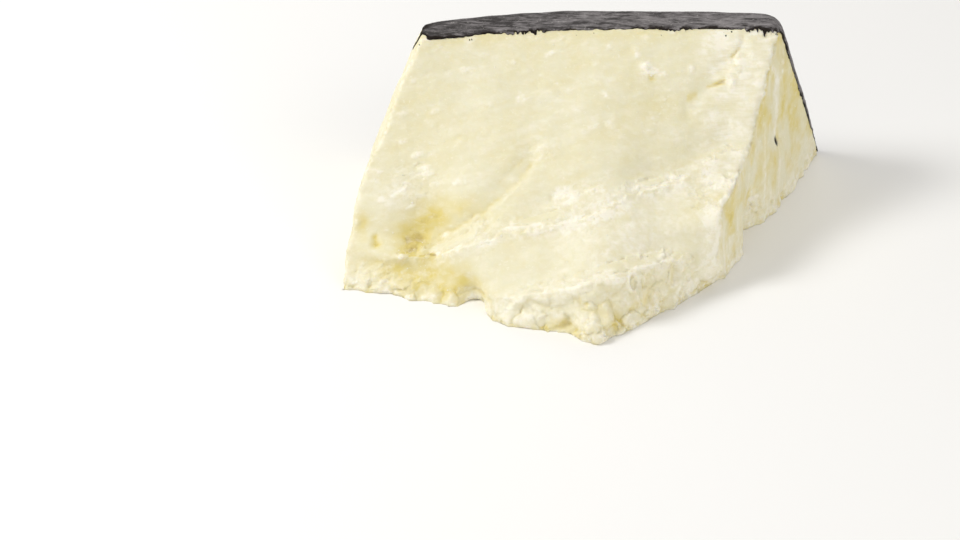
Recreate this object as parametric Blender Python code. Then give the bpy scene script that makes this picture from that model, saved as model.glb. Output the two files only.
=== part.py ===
"""A broken chunk of pecorino romano, standing on its flat cut base.

The chunk comes from the rim of a wheel. A rounded block gives the skin of the
wheel: the flat top, the rounded shoulder and the bowed, leaning back. Three
rough surfaces then break it out of the wheel: the wide sloping front, the left
end and the right end. Lengths are in metres, with +Z up and +Y to the back.
While it is modelled, X = 0 and Y = 0 mark a point on the ground in front of
the chunk, and at the end the middle of its base is moved to the origin.
"""

import math

import bmesh
import bpy
import numpy as np
from mathutils import Vector, noise

NAME = "pecorino_chunk"

# The wheel's skin: a block whose left, right and back sides lean outwards.
HEIGHT = 0.0975
BACK_TOP_Y = 0.0962
BACK_BASE_Y = 0.125
FRONT_Y = -0.072
RIGHT_TOP_X = 0.1518
RIGHT_BASE_X = 0.1868
LEFT_TOP_X = -0.031
LEFT_BASE_X = -0.055
LEFT_FLARE = 0.04
BOW_MIDDLE_X = 0.065
BOW_RADIUS_LEFT = 0.33
BOW_RADIUS_RIGHT = 1.0
BOW_STEPS = 9
LEFT_CORNER_RADIUS = 0.012
RIGHT_CORNER_RADIUS = 0.007
CORNER_SEGMENTS = 6
CORNER_TURN = math.radians(55)
SHOULDER_RADIUS = 0.006
SHOULDER_SEGMENTS = 4
SHOULDER_TURN = math.radians(30)

# The front break follows upright profiles at these stations from left to right.
# Each profile is a foot, a toe, a shelf and a ledge (y, z), and ends at the brow.
STATIONS = (-0.070, -0.035, 0.005, 0.030, 0.060, 0.090, 0.122)
FOOT = ((-0.016, 0), (-0.026, 0), (-0.044, 0), (-0.054, 0), (-0.060, 0), (-0.037, 0), (-0.0065, 0))
TOE = (
    (-0.013, 0.005), (-0.021, 0.006), (-0.039, 0.009), (-0.045, 0.016),
    (-0.0445, 0.025), (-0.027, 0.0235), (-0.013, 0.012),
)
SHELF = (
    (-0.009, 0.010), (-0.018, 0.010), (-0.027, 0.020), (-0.029, 0.0255),
    (-0.024, 0.035), (-0.011, 0.034), (-0.009, 0.0385),
)
LEDGE = (
    (-0.005, 0.015), (-0.014, 0.016), (-0.015, 0.031), (-0.013, 0.035),
    (-0.005, 0.044), (0.010, 0.0445), (0.027, 0.049),
)
BROW_Y = 0.0754
BROW_BOW_RADIUS = 0.33
FOOT_UNDERCUT = 0.002

# How finely each band of the front break is divided, from below the foot up.
FRONT_X_RANGE = (-0.105, 0.200)
FRONT_COLUMNS = 92
BAND_ROWS = (2, 8, 5, 6, 18, 3)
TOE_ROW = sum(BAND_ROWS[:2])
LEDGE_ROW = sum(BAND_ROWS[:4])

# Hollows in the front break: middle (x, z), half sizes (x, z) and depth.
# A negative depth is a lump.
HOLLOWS = {
    "on the left": ((-0.026, 0.029), (0.014, 0.013), 0.0060),
    "under the ledge": ((-0.020, 0.008), (0.022, 0.006), 0.0028),
    "notch in the foot": ((-0.005, 0.003), (0.005, 0.008), 0.0150),
    "bay in the foot": ((0.041, 0.003), (0.008, 0.008), 0.0040),
    "lump on the foot": ((0.054, 0.003), (0.007, 0.008), -0.0045),
    "lump by the notch": ((0.012, 0.003), (0.008, 0.006), -0.0020),
}

# Creases in the front break: start (x, z), end (x, z), half width and depth.
CREASES = {
    "under the upper slab": ((-0.024, 0.020), (0.025, 0.056), 0.0032, 0.0020),
    "crack at the top right": ((0.104, 0.068), (0.132, 0.090), 0.0030, 0.0016),
}

# Steps that follow the ledge and the toe: a lip, and a trough just above it.
LEDGE_LIP = 0.0022
TOE_LIP = 0.0016
LIP_WIDTH = 0.0045
TROUGH_PLACE = 0.0095
TROUGH_WIDTH = 0.0060
TROUGH_SHARE = 0.8
STEP_WANDER = 0.0040
STEP_WANDER_SIZE = 0.032
STEP_STRENGTH = 0.7
STEP_STRENGTH_SIZE = 0.024
STEP_STRENGTH_RANGE = (0.1, 1.3)

# The right break is a leaning plane through three corners of the chunk.
RIGHT_FRONT_CORNER = (0.1234, -0.0062, 0.0)
RIGHT_BACK_CORNER = (0.1855, 0.1103, 0.0)
RIGHT_TOP_CORNER = (0.1512, 0.0754, 0.0975)
RIGHT_RUN = (-0.090, 0.165)
RIGHT_COLUMNS = 84
RIGHT_NOTCH_RUN = 0.039
RIGHT_NOTCH_SIZE = (0.011, 0.030)
RIGHT_NOTCH_DEPTH = 0.0085
JAG_LENGTH = 0.0145
JAG_WANDER = 0.35
JAG_WANDER_RATE = 170
JAG_LEAN = 0.3
JAG_DEPTH = 0.0040
JAG_HEIGHT = 0.010
JAG_START = 0.020

# The left break is a leaning plane too, with a belly and a bulge across it.
LEFT_FRONT_CORNER = (-0.0680, -0.0159, 0.0)
LEFT_BACK_CORNER = (-0.0530, 0.1030, 0.0)
LEFT_TOP_CORNER = (-0.0290, 0.0623, 0.0975)
LEFT_RUN = (-0.070, 0.150)
LEFT_COLUMNS = 37
LEFT_BELLY = 0.0040
LEFT_BULGE = 0.0027
LEFT_BULGE_Z = 0.040
LEFT_BULGE_SIZE = 0.020

# Rows of the two end breaks, and how far every break reaches past the block.
END_Z_RANGE = (-0.010, 0.110)
END_ROWS = 24
CUTTER_REACH = 0.30

# Soft crumbs cover every break. Crags are flat broken facets: they are steep on
# the foot of the front break, and shallow and wide on the two ends.
CRUMB_SIZE = 0.016
CRUMB_HEIGHT = 0.0006
FINE_CRUMB_SHARE = 0.6
END_CRUMB_HEIGHT = 0.0010
CRAG_SIZE = 0.0095
CRAG_HEIGHT = 0.0030
CRAG_TILT = 0.6
CRAGS_FADE_FROM = 0.75
CRAGS_FADE_OVER = 0.40
END_CRAG_SIZE = 0.018
END_CRAG_HEIGHT = 0.0012

# How far apart the seeds of the crumbs and the crags lie in their patterns.
CRUMB_SEED_STEP = Vector((3.1, 1.7, 2.3))
CRAG_SEED_STEP = Vector((2.9, 1.3, 3.7))
CRAG_CELL_SPREAD = 7.0
SLIVER = 0.00005
SHARP_ANGLE = 35

PASTE_COLOUR = (0.80, 0.76, 0.55, 1.0)
PASTE_ROUGHNESS = 0.6


def clear_scene():
    """Remove whatever the scene holds at the start."""
    for scene_object in list(bpy.data.objects):
        bpy.data.objects.remove(scene_object, do_unlink=True)


def new_collection(name):
    """Add a collection to the scene."""
    collection = bpy.data.collections.new(name)
    bpy.context.scene.collection.children.link(collection)
    return collection


def new_object(name, mesh_maker, collection):
    """Turn a bmesh into an object of the collection."""
    mesh = bpy.data.meshes.new(name)
    mesh_maker.to_mesh(mesh)
    mesh_maker.free()
    made = bpy.data.objects.new(name, mesh)
    collection.objects.link(made)
    return made


def paste_material():
    """The pale paste of the cheese."""
    material = bpy.data.materials.new("cheese_paste")
    material.use_nodes = True
    shader = material.node_tree.nodes["Principled BSDF"]
    shader.inputs["Base Color"].default_value = PASTE_COLOUR
    shader.inputs["Roughness"].default_value = PASTE_ROUGHNESS
    return material


def bow(x):
    """How far the wheel's rim falls back towards the front at x."""
    radius = BOW_RADIUS_LEFT if x < BOW_MIDDLE_X else BOW_RADIUS_RIGHT
    return (x - BOW_MIDDLE_X) ** 2 / (2 * radius)


def wheel_block(collection):
    """The block of wheel that the chunk is broken from, with its rounded skin."""
    block = bmesh.new()
    bmesh.ops.create_cube(block, size=1)
    for corner in block.verts:
        low = corner.co.z < 0
        back = corner.co.y > 0
        right = corner.co.x > 0
        side_x = RIGHT_BASE_X if low else RIGHT_TOP_X
        if not right:
            side_x = LEFT_BASE_X if low else LEFT_TOP_X
            side_x -= 0 if back else LEFT_FLARE
        back_y = BACK_BASE_Y if low else BACK_TOP_Y
        corner.co = (side_x, back_y if back else FRONT_Y, 0 if low else HEIGHT)

    lengthwise = [edge for edge in block.edges if is_lengthwise(edge)]
    bmesh.ops.subdivide_edges(block, edges=lengthwise, cuts=BOW_STEPS, use_grid_fill=True)
    for vertex in block.verts:
        if vertex.co.y > 0:
            vertex.co.y -= bow(vertex.co.x)

    for side, radius in ((-1, LEFT_CORNER_RADIUS), (1, RIGHT_CORNER_RADIUS)):
        corner = [edge for edge in block.edges if is_back_corner(edge, side)]
        round_over(block, corner, radius, CORNER_SEGMENTS)
    rim = [edge for edge in block.edges if is_top_rim(edge)]
    round_over(block, rim, SHOULDER_RADIUS, SHOULDER_SEGMENTS)
    bmesh.ops.recalc_face_normals(block, faces=block.faces)
    return new_object(NAME, block, collection)


def round_over(block, edges, radius, segments):
    """Round some edges of the block."""
    bmesh.ops.bevel(block, geom=edges, offset=radius, segments=segments, profile=0.5, affect="EDGES")


def is_lengthwise(edge):
    """True for an edge of the block that runs from its left to its right."""
    span = edge.verts[1].co - edge.verts[0].co
    return abs(span.x) > max(abs(span.y), abs(span.z))


def is_back_corner(edge, side):
    """True for the upright edge at the back of the block, left at -1 or right at 1."""
    first, second = edge.verts
    upright = abs(first.co.z - second.co.z) > HEIGHT / 2
    on_side = (first.co.x - BOW_MIDDLE_X) * side > 0
    return upright and on_side and first.co.y > 0 and edge.calc_face_angle() > CORNER_TURN


def is_top_rim(edge):
    """True for the edges between the top and the sides of the block."""
    first, second = edge.verts
    on_top = min(first.co.z, second.co.z) > HEIGHT - SLIVER
    return on_top and edge.calc_face_angle() > SHOULDER_TURN


def curve_through(x, stations, values):
    """A smooth curve through one value per station, level outside them."""
    stations = np.asarray(stations)
    values = np.asarray(values, float)
    slopes = np.gradient(values, stations)
    inside = np.clip(x, stations[0], stations[-1])
    start = np.clip(np.searchsorted(stations, inside) - 1, 0, len(stations) - 2)
    length = stations[start + 1] - stations[start]
    t = (inside - stations[start]) / length
    return (
        (1 + 2 * t) * (1 - t) ** 2 * values[start]
        + t * (1 - t) ** 2 * length * slopes[start]
        + t ** 2 * (3 - 2 * t) * values[start + 1]
        + t ** 2 * (t - 1) * length * slopes[start + 1]
    )


def brow_y(x):
    """The front edge of the flat top, bowed forwards at its left."""
    return BROW_Y - np.where(x < BOW_MIDDLE_X, (x - BOW_MIDDLE_X) ** 2 / (2 * BROW_BOW_RADIUS), 0)


def front_lines(x):
    """The lines that cross the front break, from below the foot to over the brow."""
    lines = []
    for profile in (FOOT, TOE, SHELF, LEDGE):
        y = curve_through(x, STATIONS, [point[0] for point in profile])
        z = curve_through(x, STATIONS, [point[1] for point in profile])
        lines.append((y, z))
    brow = brow_y(x)
    ledge_y, ledge_z = lines[-1]
    below = (lines[0][0] - FOOT_UNDERCUT, np.full_like(x, END_Z_RANGE[0]))
    rise = (END_Z_RANGE[1] - HEIGHT) / (HEIGHT - ledge_z)
    above = (brow + (brow - ledge_y) * rise, np.full_like(x, END_Z_RANGE[1]))
    return [below] + lines + [(brow, np.full_like(x, HEIGHT)), above]


def front_points():
    """The front break as rows and columns of points, and each row's place in the bands."""
    x = np.linspace(FRONT_X_RANGE[0], FRONT_X_RANGE[1], FRONT_COLUMNS + 1)
    lines = front_lines(x)
    rows = []
    levels = []
    for band, count in enumerate(BAND_ROWS):
        for step in range(count):
            t = step / count
            y = (1 - t) * lines[band][0] + t * lines[band + 1][0]
            z = (1 - t) * lines[band][1] + t * lines[band + 1][1]
            rows.append(np.stack([x, y, z], axis=-1))
            levels.append(band - 1 + t)
    rows.append(np.stack([x, lines[-1][0], lines[-1][1]], axis=-1))
    levels.append(float(len(BAND_ROWS) - 1))
    points = np.stack(rows, axis=1)
    points[:, 1:-1] = (points[:, :-2] + 2 * points[:, 1:-1] + points[:, 2:]) / 4
    return points, np.array(levels)


def grid_normals(points):
    """Directions square to a grid of points."""
    across = np.gradient(points, axis=0)
    upward = np.gradient(points, axis=1)
    normals = np.cross(across, upward)
    return normals / np.linalg.norm(normals, axis=-1, keepdims=True)


def hump(distance):
    """1 in the middle of a feature, fading to nothing past its edge."""
    return np.exp(-np.square(distance))


def crumbs(points, size, seed):
    """Soft lumps of a given size, between about -1 and 1."""
    offset = seed * CRUMB_SEED_STEP
    flat = points.reshape(-1, 3) / size
    values = [noise.noise(Vector(point) + offset) for point in flat]
    return np.array(values).reshape(points.shape[:-1])


def crags(points, size, seed):
    """Broken facets: each cell is a flat tilted face with a step at its edge."""
    offset = seed * CRAG_SEED_STEP
    flat = points.reshape(-1, 3) / size
    values = []
    for point in flat:
        place = Vector(point) + offset
        centre = noise.voronoi(place)[1][0]
        tilt = noise.cell_vector(centre * CRAG_CELL_SPREAD) - Vector((0.5, 0.5, 0.5))
        values.append((place - centre).dot(tilt) + CRAG_TILT * tilt.x)
    return np.array(values).reshape(points.shape[:-1])


def crease_depth(points, start, end, width):
    """1 along a line on the front break, fading to nothing beside it."""
    place = points[..., (0, 2)]
    start = np.array(start)
    span = np.array(end) - start
    along = np.clip(np.tensordot(place - start, span, axes=1) / span.dot(span), 0, 1)
    nearest = start + along[..., None] * span
    distance = np.linalg.norm(place - nearest, axis=-1)
    return hump(distance / width)


def step(points, row):
    """A lip along one row of the front break with a trough above it, fading in and out."""
    lengths = np.linalg.norm(np.diff(points, axis=1), axis=-1)
    arc = np.concatenate([np.zeros((len(points), 1)), np.cumsum(lengths, axis=1)], axis=1)
    above = arc - arc[:, row:row + 1] + STEP_WANDER * crumbs(points, STEP_WANDER_SIZE, row)
    strength = STEP_STRENGTH + crumbs(points, STEP_STRENGTH_SIZE, row + 1)
    strength = np.clip(strength, *STEP_STRENGTH_RANGE)
    trough = hump((above - TROUGH_PLACE) / TROUGH_WIDTH)
    return strength * (hump(above / LIP_WIDTH) - TROUGH_SHARE * trough)


def front_relief(points, levels):
    """How far the front break stands out at each point."""
    foot_share = hump(np.clip(levels - CRAGS_FADE_FROM, 0, None) / CRAGS_FADE_OVER)
    height = CRUMB_HEIGHT * crumbs(points, CRUMB_SIZE, 1)
    height = height + CRUMB_HEIGHT * FINE_CRUMB_SHARE * crumbs(points, CRUMB_SIZE / 2, 2)
    height = height + CRAG_HEIGHT * foot_share * crags(points, CRAG_SIZE, 3)
    height = height + LEDGE_LIP * step(points, LEDGE_ROW)
    height = height + TOE_LIP * step(points, TOE_ROW)
    for (x, z), (half_width, half_height), depth in HOLLOWS.values():
        across = (points[..., 0] - x) / half_width
        upward = (points[..., 2] - z) / half_height
        height = height - depth * hump(np.hypot(across, upward))
    for start, end, width, depth in CREASES.values():
        height = height - depth * crease_depth(points, start, end, width)
    return height


def front_break():
    """The wide sloping break with its ledges, hollows and ragged foot."""
    points, levels = front_points()
    return points + front_relief(points, levels)[..., None] * grid_normals(points)


def end_plane(front, back, top, run_range, columns):
    """A leaning plane through three corners, as a grid, with the run of each column."""
    front, back, top = np.array(front), np.array(back), np.array(top)
    along = (back - front) / np.linalg.norm(back - front)
    up = top - front
    up = up - along * up.dot(along)
    up = up / up[2]
    run = np.linspace(run_range[0], run_range[1], columns + 1)
    z = np.linspace(END_Z_RANGE[0], END_Z_RANGE[1], END_ROWS + 1)
    points = front + run[:, None, None] * along + z[None, :, None] * up
    return points, run[:, None], z[None, :]


def right_break():
    """The right end: a flat break with a hollow in its foot and a jagged lower edge."""
    corners = (RIGHT_FRONT_CORNER, RIGHT_BACK_CORNER, RIGHT_TOP_CORNER)
    points, run, z = end_plane(*corners, RIGHT_RUN, RIGHT_COLUMNS)
    outwards = -grid_normals(points)
    outwards *= np.sign(outwards[..., :1])
    above = np.clip(z, 0, None)
    across = (run - RIGHT_NOTCH_RUN) / RIGHT_NOTCH_SIZE[0]
    height = -RIGHT_NOTCH_DEPTH * hump(np.hypot(across, above / RIGHT_NOTCH_SIZE[1]))
    teeth = np.abs((run / JAG_LENGTH + JAG_WANDER * np.sin(run * JAG_WANDER_RATE)) % 1 - JAG_LEAN)
    teeth = teeth * np.clip(run / JAG_START, 0, 1)
    height = height - JAG_DEPTH * teeth * hump(above / JAG_HEIGHT)
    height = height + END_CRUMB_HEIGHT * crumbs(points, CRUMB_SIZE, 5)
    height = height + END_CRAG_HEIGHT * crags(points, END_CRAG_SIZE, 6)
    return points + height[..., None] * outwards


def left_break():
    """The left end: a leaning break with a belly and a bulge."""
    corners = (LEFT_FRONT_CORNER, LEFT_BACK_CORNER, LEFT_TOP_CORNER)
    points, _, z = end_plane(*corners, LEFT_RUN, LEFT_COLUMNS)
    outwards = grid_normals(points)
    outwards *= -np.sign(outwards[..., :1])
    share = np.clip(z / HEIGHT, 0, 1)
    height = LEFT_BELLY * (1 - (2 * share - 1) ** 4)
    height = height + LEFT_BULGE * hump((z - LEFT_BULGE_Z) / LEFT_BULGE_SIZE)
    height = height + END_CRUMB_HEIGHT * crumbs(points, CRUMB_SIZE, 8)
    height = height + END_CRAG_HEIGHT * crags(points, END_CRAG_SIZE, 9)
    return points + height[..., None] * outwards


def cutter(name, points, direction, collection):
    """A closed cutter: a grid laid on the points and drawn out in one direction."""
    columns, rows = points.shape[0], points.shape[1]
    sheet = bmesh.new()
    bmesh.ops.create_grid(sheet, x_segments=columns - 1, y_segments=rows - 1, size=1)
    for vertex in sheet.verts:
        column = round((vertex.co.x + 1) / 2 * (columns - 1))
        row = round((vertex.co.y + 1) / 2 * (rows - 1))
        vertex.co = points[column, row]
    drawn = bmesh.ops.extrude_face_region(sheet, geom=list(sheet.faces))["geom"]
    direction = Vector(direction)
    for vertex in (item for item in drawn if isinstance(item, bmesh.types.BMVert)):
        vertex.co += direction * (CUTTER_REACH - vertex.co.dot(direction))
    bmesh.ops.recalc_face_normals(sheet, faces=sheet.faces)
    made = new_object(name, sheet, collection)
    made.hide_render = True
    made.display_type = "WIRE"
    return made


def cut(target, tool):
    """Take the tool's volume away from the target."""
    modifier = target.modifiers.new(tool.name, "BOOLEAN")
    modifier.operation = "DIFFERENCE"
    modifier.solver = "EXACT"
    modifier.object = tool


def drop_collapsed_fins(solid):
    """Delete each pair of triangles that lie back to back on the same corners."""
    by_corners = {}
    for face in solid.faces:
        by_corners.setdefault(frozenset(face.verts), []).append(face)
    fins = [face for faces in by_corners.values() if len(faces) > 1 for face in faces]
    bmesh.ops.delete(solid, geom=fins, context="FACES")


def settle(chunk):
    """Make the cuts final, drop slivers and stand the chunk on the origin."""
    evaluated = chunk.evaluated_get(bpy.context.evaluated_depsgraph_get())
    mesh = bpy.data.meshes.new_from_object(evaluated)
    chunk.modifiers.clear()
    solid = bmesh.new()
    solid.from_mesh(mesh)
    bmesh.ops.remove_doubles(solid, verts=solid.verts, dist=SLIVER)
    bmesh.ops.dissolve_degenerate(solid, edges=solid.edges, dist=SLIVER)
    bmesh.ops.triangulate(solid, faces=solid.faces)
    drop_collapsed_fins(solid)
    low = np.min([vertex.co for vertex in solid.verts], axis=0)
    high = np.max([vertex.co for vertex in solid.verts], axis=0)
    shift = Vector((-(low[0] + high[0]) / 2, -(low[1] + high[1]) / 2, -low[2]))
    bmesh.ops.translate(solid, verts=solid.verts, vec=shift)
    solid.to_mesh(mesh)
    solid.free()
    chunk.data = mesh
    mesh.shade_smooth()
    mesh.set_sharp_from_angle(angle=math.radians(SHARP_ANGLE))


def main():
    clear_scene()
    parts = new_collection(NAME)
    cutters = new_collection("cutters")
    chunk = wheel_block(parts)
    chunk.data.materials.append(paste_material())
    cut(chunk, cutter("front_break", front_break(), (0, -1, 0), cutters))
    cut(chunk, cutter("right_break", right_break(), (1, 0, 0), cutters))
    cut(chunk, cutter("left_break", left_break(), (-1, 0, 0), cutters))
    bpy.context.view_layer.update()
    settle(chunk)


main()
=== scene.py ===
"""A broken chunk of pecorino romano with its dark rind, dressed for a studio picture.

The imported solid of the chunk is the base. The paste is a fine copy of it with
the grain, ledges, cracks and pores of a hard cheese that was broken by hand.
The rind is a thin coat over the skin of the wheel. Crumbs lie on the broken
ledges, and scraps of rind below the coat. Lengths are in metres, with +Z up
and the broken front towards -Y.
"""

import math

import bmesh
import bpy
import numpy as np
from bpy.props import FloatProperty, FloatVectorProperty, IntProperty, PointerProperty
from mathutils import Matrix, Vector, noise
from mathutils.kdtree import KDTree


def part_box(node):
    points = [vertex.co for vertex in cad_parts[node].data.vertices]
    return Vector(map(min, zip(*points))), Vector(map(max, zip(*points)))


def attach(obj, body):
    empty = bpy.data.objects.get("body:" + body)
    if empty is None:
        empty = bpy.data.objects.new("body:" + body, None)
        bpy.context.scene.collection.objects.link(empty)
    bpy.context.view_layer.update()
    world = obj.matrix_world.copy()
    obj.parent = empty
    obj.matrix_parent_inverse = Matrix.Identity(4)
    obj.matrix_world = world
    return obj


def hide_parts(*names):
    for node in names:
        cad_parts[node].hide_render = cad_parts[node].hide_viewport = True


bl_info = {
    "name": "Pecorino Romano Chunk",
    "version": (1, 0, 0),
    "blender": (4, 5, 0),
    "location": "View3D > Sidebar > Cheese",
    "description": "Builds a broken chunk of hard sheep's cheese with a dark rind",
    "category": "Object",
}

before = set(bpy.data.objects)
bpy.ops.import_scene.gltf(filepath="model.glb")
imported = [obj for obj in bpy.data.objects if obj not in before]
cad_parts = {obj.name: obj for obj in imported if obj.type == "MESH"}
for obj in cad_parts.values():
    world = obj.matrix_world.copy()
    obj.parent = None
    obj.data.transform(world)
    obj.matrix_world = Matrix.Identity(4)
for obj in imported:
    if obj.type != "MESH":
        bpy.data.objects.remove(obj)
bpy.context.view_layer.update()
NODE = "pecorino_chunk"
LOW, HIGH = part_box(NODE)

MM = 0.001
WELD = 0.01 * MM
BASE_MARGIN = 0.02 * MM

# Places on the chunk are measured from a mark on the ground in front of it.
RIGHT_TIP_X = 0.1862
BACK_BASE_Y = 0.125
MARK = np.array((HIGH.x - RIGHT_TIP_X, HIGH.y - BACK_BASE_Y, LOW.z))

# The skin of the wheel: a flat top, a leaning bowed back and two leaning sides.
HEIGHT = HIGH.z - LOW.z
BACK_LEAN = 0.0288
BOW_MIDDLE_X = 0.065
BOW_RADIUS_LEFT = 0.33
BOW_RADIUS_RIGHT = 1.0
RIGHT_BASE_X = 0.1868
RIGHT_LEAN = 0.0350
LEFT_BASE_X = -0.0550
LEFT_LEAN = 0.0240
LEFT_FLARE = 0.203
LEFT_CORNER_RADIUS = 0.012
RIGHT_CORNER_RADIUS = 0.007
SHOULDER_RADIUS = 0.0065

# The run of the slabs that the front broke along, from low left to high right.
SLAB_RUN = np.array((0.953, 0.211, 0.217))

# Ledges on the front, as lines of (x, z) points, with half width, height and whiteness.
# A crest's whiteness is partly crushed paste and partly a painted highlight; a negative whiteness is
# painted shade.
LEDGES = {
    "middle ledge": (
        ((-0.0392, 0.0160), (-0.0215, 0.0176), (-0.0097, 0.0245), (0.0097, 0.0322), (0.0319, 0.0366),
         (0.0522, 0.0392), (0.0650, 0.0436), (0.0832, 0.0449), (0.1111, 0.0462)),
        0.0019, 0.0011, 1.25,
    ),
    "upper ledge": (((0.0340, 0.0420), (0.0375, 0.0436), (0.0620, 0.0487)), 0.0017, 0.0006, 0.9),
    "lower ledge": (
        ((0.0096, 0.0091), (0.0296, 0.0162), (0.0442, 0.0211), (0.0602, 0.0251), (0.0765, 0.0259),
         (0.1007, 0.0222)),
        0.0013, 0.0008, 1.1,
    ),
    "faint edge": (((-0.0010, 0.0076), (0.0273, 0.0175), (0.0477, 0.0249)), 0.0012, 0.0003, 0.3),
    "upper left edge": (((0.0169, 0.0739), (0.0273, 0.0762), (0.0373, 0.0776)), 0.0010, 0.0003, 0.45),
    "upper middle edge": (((0.0474, 0.0811), (0.0598, 0.0806), (0.0698, 0.0816)), 0.0010, 0.0003, 0.45),
    # Painted shade: a negative whiteness and a small dip darken the lit edge of the slab.
    "painted shade on the slab edge": (
        ((-0.0170, 0.0215), (-0.0010, 0.0325), (0.0100, 0.0398), (0.0170, 0.0447), (0.0235, 0.0487)),
        0.0028, -0.0005, -0.7,
    ),
    "shaded side of the crack": (
        ((0.1258, 0.0835), (0.1275, 0.0862), (0.1300, 0.0893), (0.1332, 0.0935)),
        0.0024, -0.0006, -0.4,
    ),
    "left flake edge": (((-0.0468, 0.0350), (-0.0370, 0.0427), (-0.0246, 0.0508)), 0.0016, 0.0003, 0.4),
}

# A ledge that is higher than this has a rough band, this many half widths to each side.
LEAST_ROUGH_LEDGE = 0.0005
LEDGE_REACH = 2.0

# Grooves and cracks on the front, as lines, with half width, depth and yellowness.
# The yellowness is partly the paste's tone and partly painted shade in the groove; past 1 it turns to
# the dark ochre.
CREASES = {
    "under the slab": (
        ((-0.0220, 0.0205), (-0.0034, 0.0337), (0.0078, 0.0408), (0.0147, 0.0457), (0.0206, 0.0493),
         (0.0275, 0.0538)),
        0.0009, 0.0007, 0.18,
    ),
    "beside the slab": (((-0.0130, 0.0225), (-0.0005, 0.0305), (0.0110, 0.0375)), 0.0006, 0.0004, 0.2),
    "over the slab": (((0.0080, 0.0450), (0.0150, 0.0510), (0.0215, 0.0550)), 0.0006, 0.0003, 0.15),
    "under the hollow": (((-0.0350, 0.0173), (-0.0290, 0.0170), (-0.0215, 0.0180)), 0.0006, 0.0006, 0.9),
    "broad trough": (
        ((0.0592, 0.0665), (0.0743, 0.0688), (0.0896, 0.0700), (0.1049, 0.0720)), 0.0045, 0.0006, 0.1,
    ),
    "crack": (
        ((0.1330, 0.0937), (0.1299, 0.0887), (0.1263, 0.0849), (0.1285, 0.0818)), 0.0010, 0.0007, 0.6,
    ),
    "yellow crack": (((0.1233, 0.0774), (0.1188, 0.0762), (0.1138, 0.0747)), 0.0007, 0.0007, 1.5),
    "yellow smudge": (((0.1095, 0.0722), (0.1030, 0.0722)), 0.0014, 0.0003, 0.9),
}

# Hollows and pores on the front: middle (x, z), half sizes, depth and yellowness.
# The yellowness is partly the paste's clearer tone and partly painted shade, darkest in the pores.
HOLLOWS = {
    "left hollow": ((-0.0315, 0.0235), (0.0108, 0.0070), 0.0013, 0.95),
    "hollow's upper end": ((-0.0225, 0.0312), (0.0100, 0.0056), 0.0006, 0.80),
    "hollow by the crease": ((-0.0085, 0.0372), (0.0100, 0.0042), 0.0003, 0.55),
    "hollow's floor": ((-0.0318, 0.0196), (0.0065, 0.0028), 0.0004, 0.45),
    "left pore": ((-0.0512, 0.0201), (0.0020, 0.0016), 0.0013, 1.3),
    "middle pore": ((-0.0359, 0.0208), (0.0013, 0.0012), 0.0012, 0.9),
    "pore beside it": ((-0.0335, 0.0190), (0.0008, 0.0007), 0.0004, 0.4),
    "left edge": ((-0.0580, 0.0270), (0.0030, 0.0045), 0.0003, 0.7),
    "under the ledge": ((-0.0286, 0.0100), (0.0220, 0.0070), 0.0003, 1.0),
    "by the notch": ((-0.0080, 0.0115), (0.0060, 0.0040), 0.0006, 0.7),
    "rough patch": ((0.0276, 0.0575), (0.0070, 0.0035), 0.0005, 0.2),
    "foot bay": ((0.0392, 0.0029), (0.0060, 0.0040), 0.0008, 0.7),
    "foot hollow": ((0.0626, 0.0071), (0.0060, 0.0040), 0.0008, 0.5),
    "speck": ((0.0503, 0.0147), (0.0012, 0.0010), 0.0008, 0.8),
    "pit by the lump": ((0.0859, 0.0800), (0.0016, 0.0012), 0.0006, 0.8),
}

# Lumps and pale places on the front: middle, half sizes, height and whiteness.
LUMPS = {
    "upper lump": ((0.0828, 0.0838), (0.0024, 0.0017), 0.0017, 2.2),
    "small lump": ((0.1058, 0.0822), (0.0014, 0.0011), 0.0007, 1.2),
    "lump by the crack": ((0.1262, 0.0758), (0.0016, 0.0016), 0.0009, 1.2),
    "left flakes": ((-0.0420, 0.0375), (0.0100, 0.0060), 0.0002, 0.5),
    "low face": ((0.0720, 0.0320), (0.0380, 0.0110), 0.0, 0.50),
    "by the crack": ((0.1220, 0.0885), (0.0050, 0.0080), 0.0001, 0.5),
    "right ridge": ((0.1130, 0.0300), (0.0060, 0.0160), 0.0, 0.8),
    # Painted shade: the negative whiteness greys the filled end of the crack.
    "filled end of the crack": ((0.1292, 0.0872), (0.0036, 0.0062), 0.0012, -0.2),
    "lump under the hollow": ((-0.0392, 0.0168), (0.0026, 0.0014), 0.0010, 1.0),
}

# The upper edge of the crumbly foot as (x, z) points, and the heights over which it fades.
TOE_LINE = (
    (-0.070, 0.005), (-0.035, 0.006), (0.005, 0.009), (0.030, 0.016), (0.060, 0.025),
    (0.090, 0.0235), (0.122, 0.012),
)
TOE_FADE = (-0.0010, 0.0020)

# Other rough patches on the front: middle, half sizes and roughness.
ROUGH_PATCHES = {
    "over the left hollow": ((-0.0350, 0.0430), (0.0150, 0.0095), 0.8),
    "rough patch": ((0.0290, 0.0575), (0.0100, 0.0055), 0.6),
    "between the ledges": ((0.0480, 0.0430), (0.0200, 0.0040), 0.7),
    "at the cracks": ((0.1280, 0.0830), (0.0070, 0.0110), 0.6),
    "upper lump": ((0.0830, 0.0820), (0.0050, 0.0035), 0.6),
    "left foot": ((-0.0450, 0.0080), (0.0250, 0.0080), 0.7),
}

# The band along the right edge of the front that a saw has scratched.
SAW_LEFT_X = 0.1114
SAW_FADE = 0.007
SAW_LOWEST = (0.008, 0.018)

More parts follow.
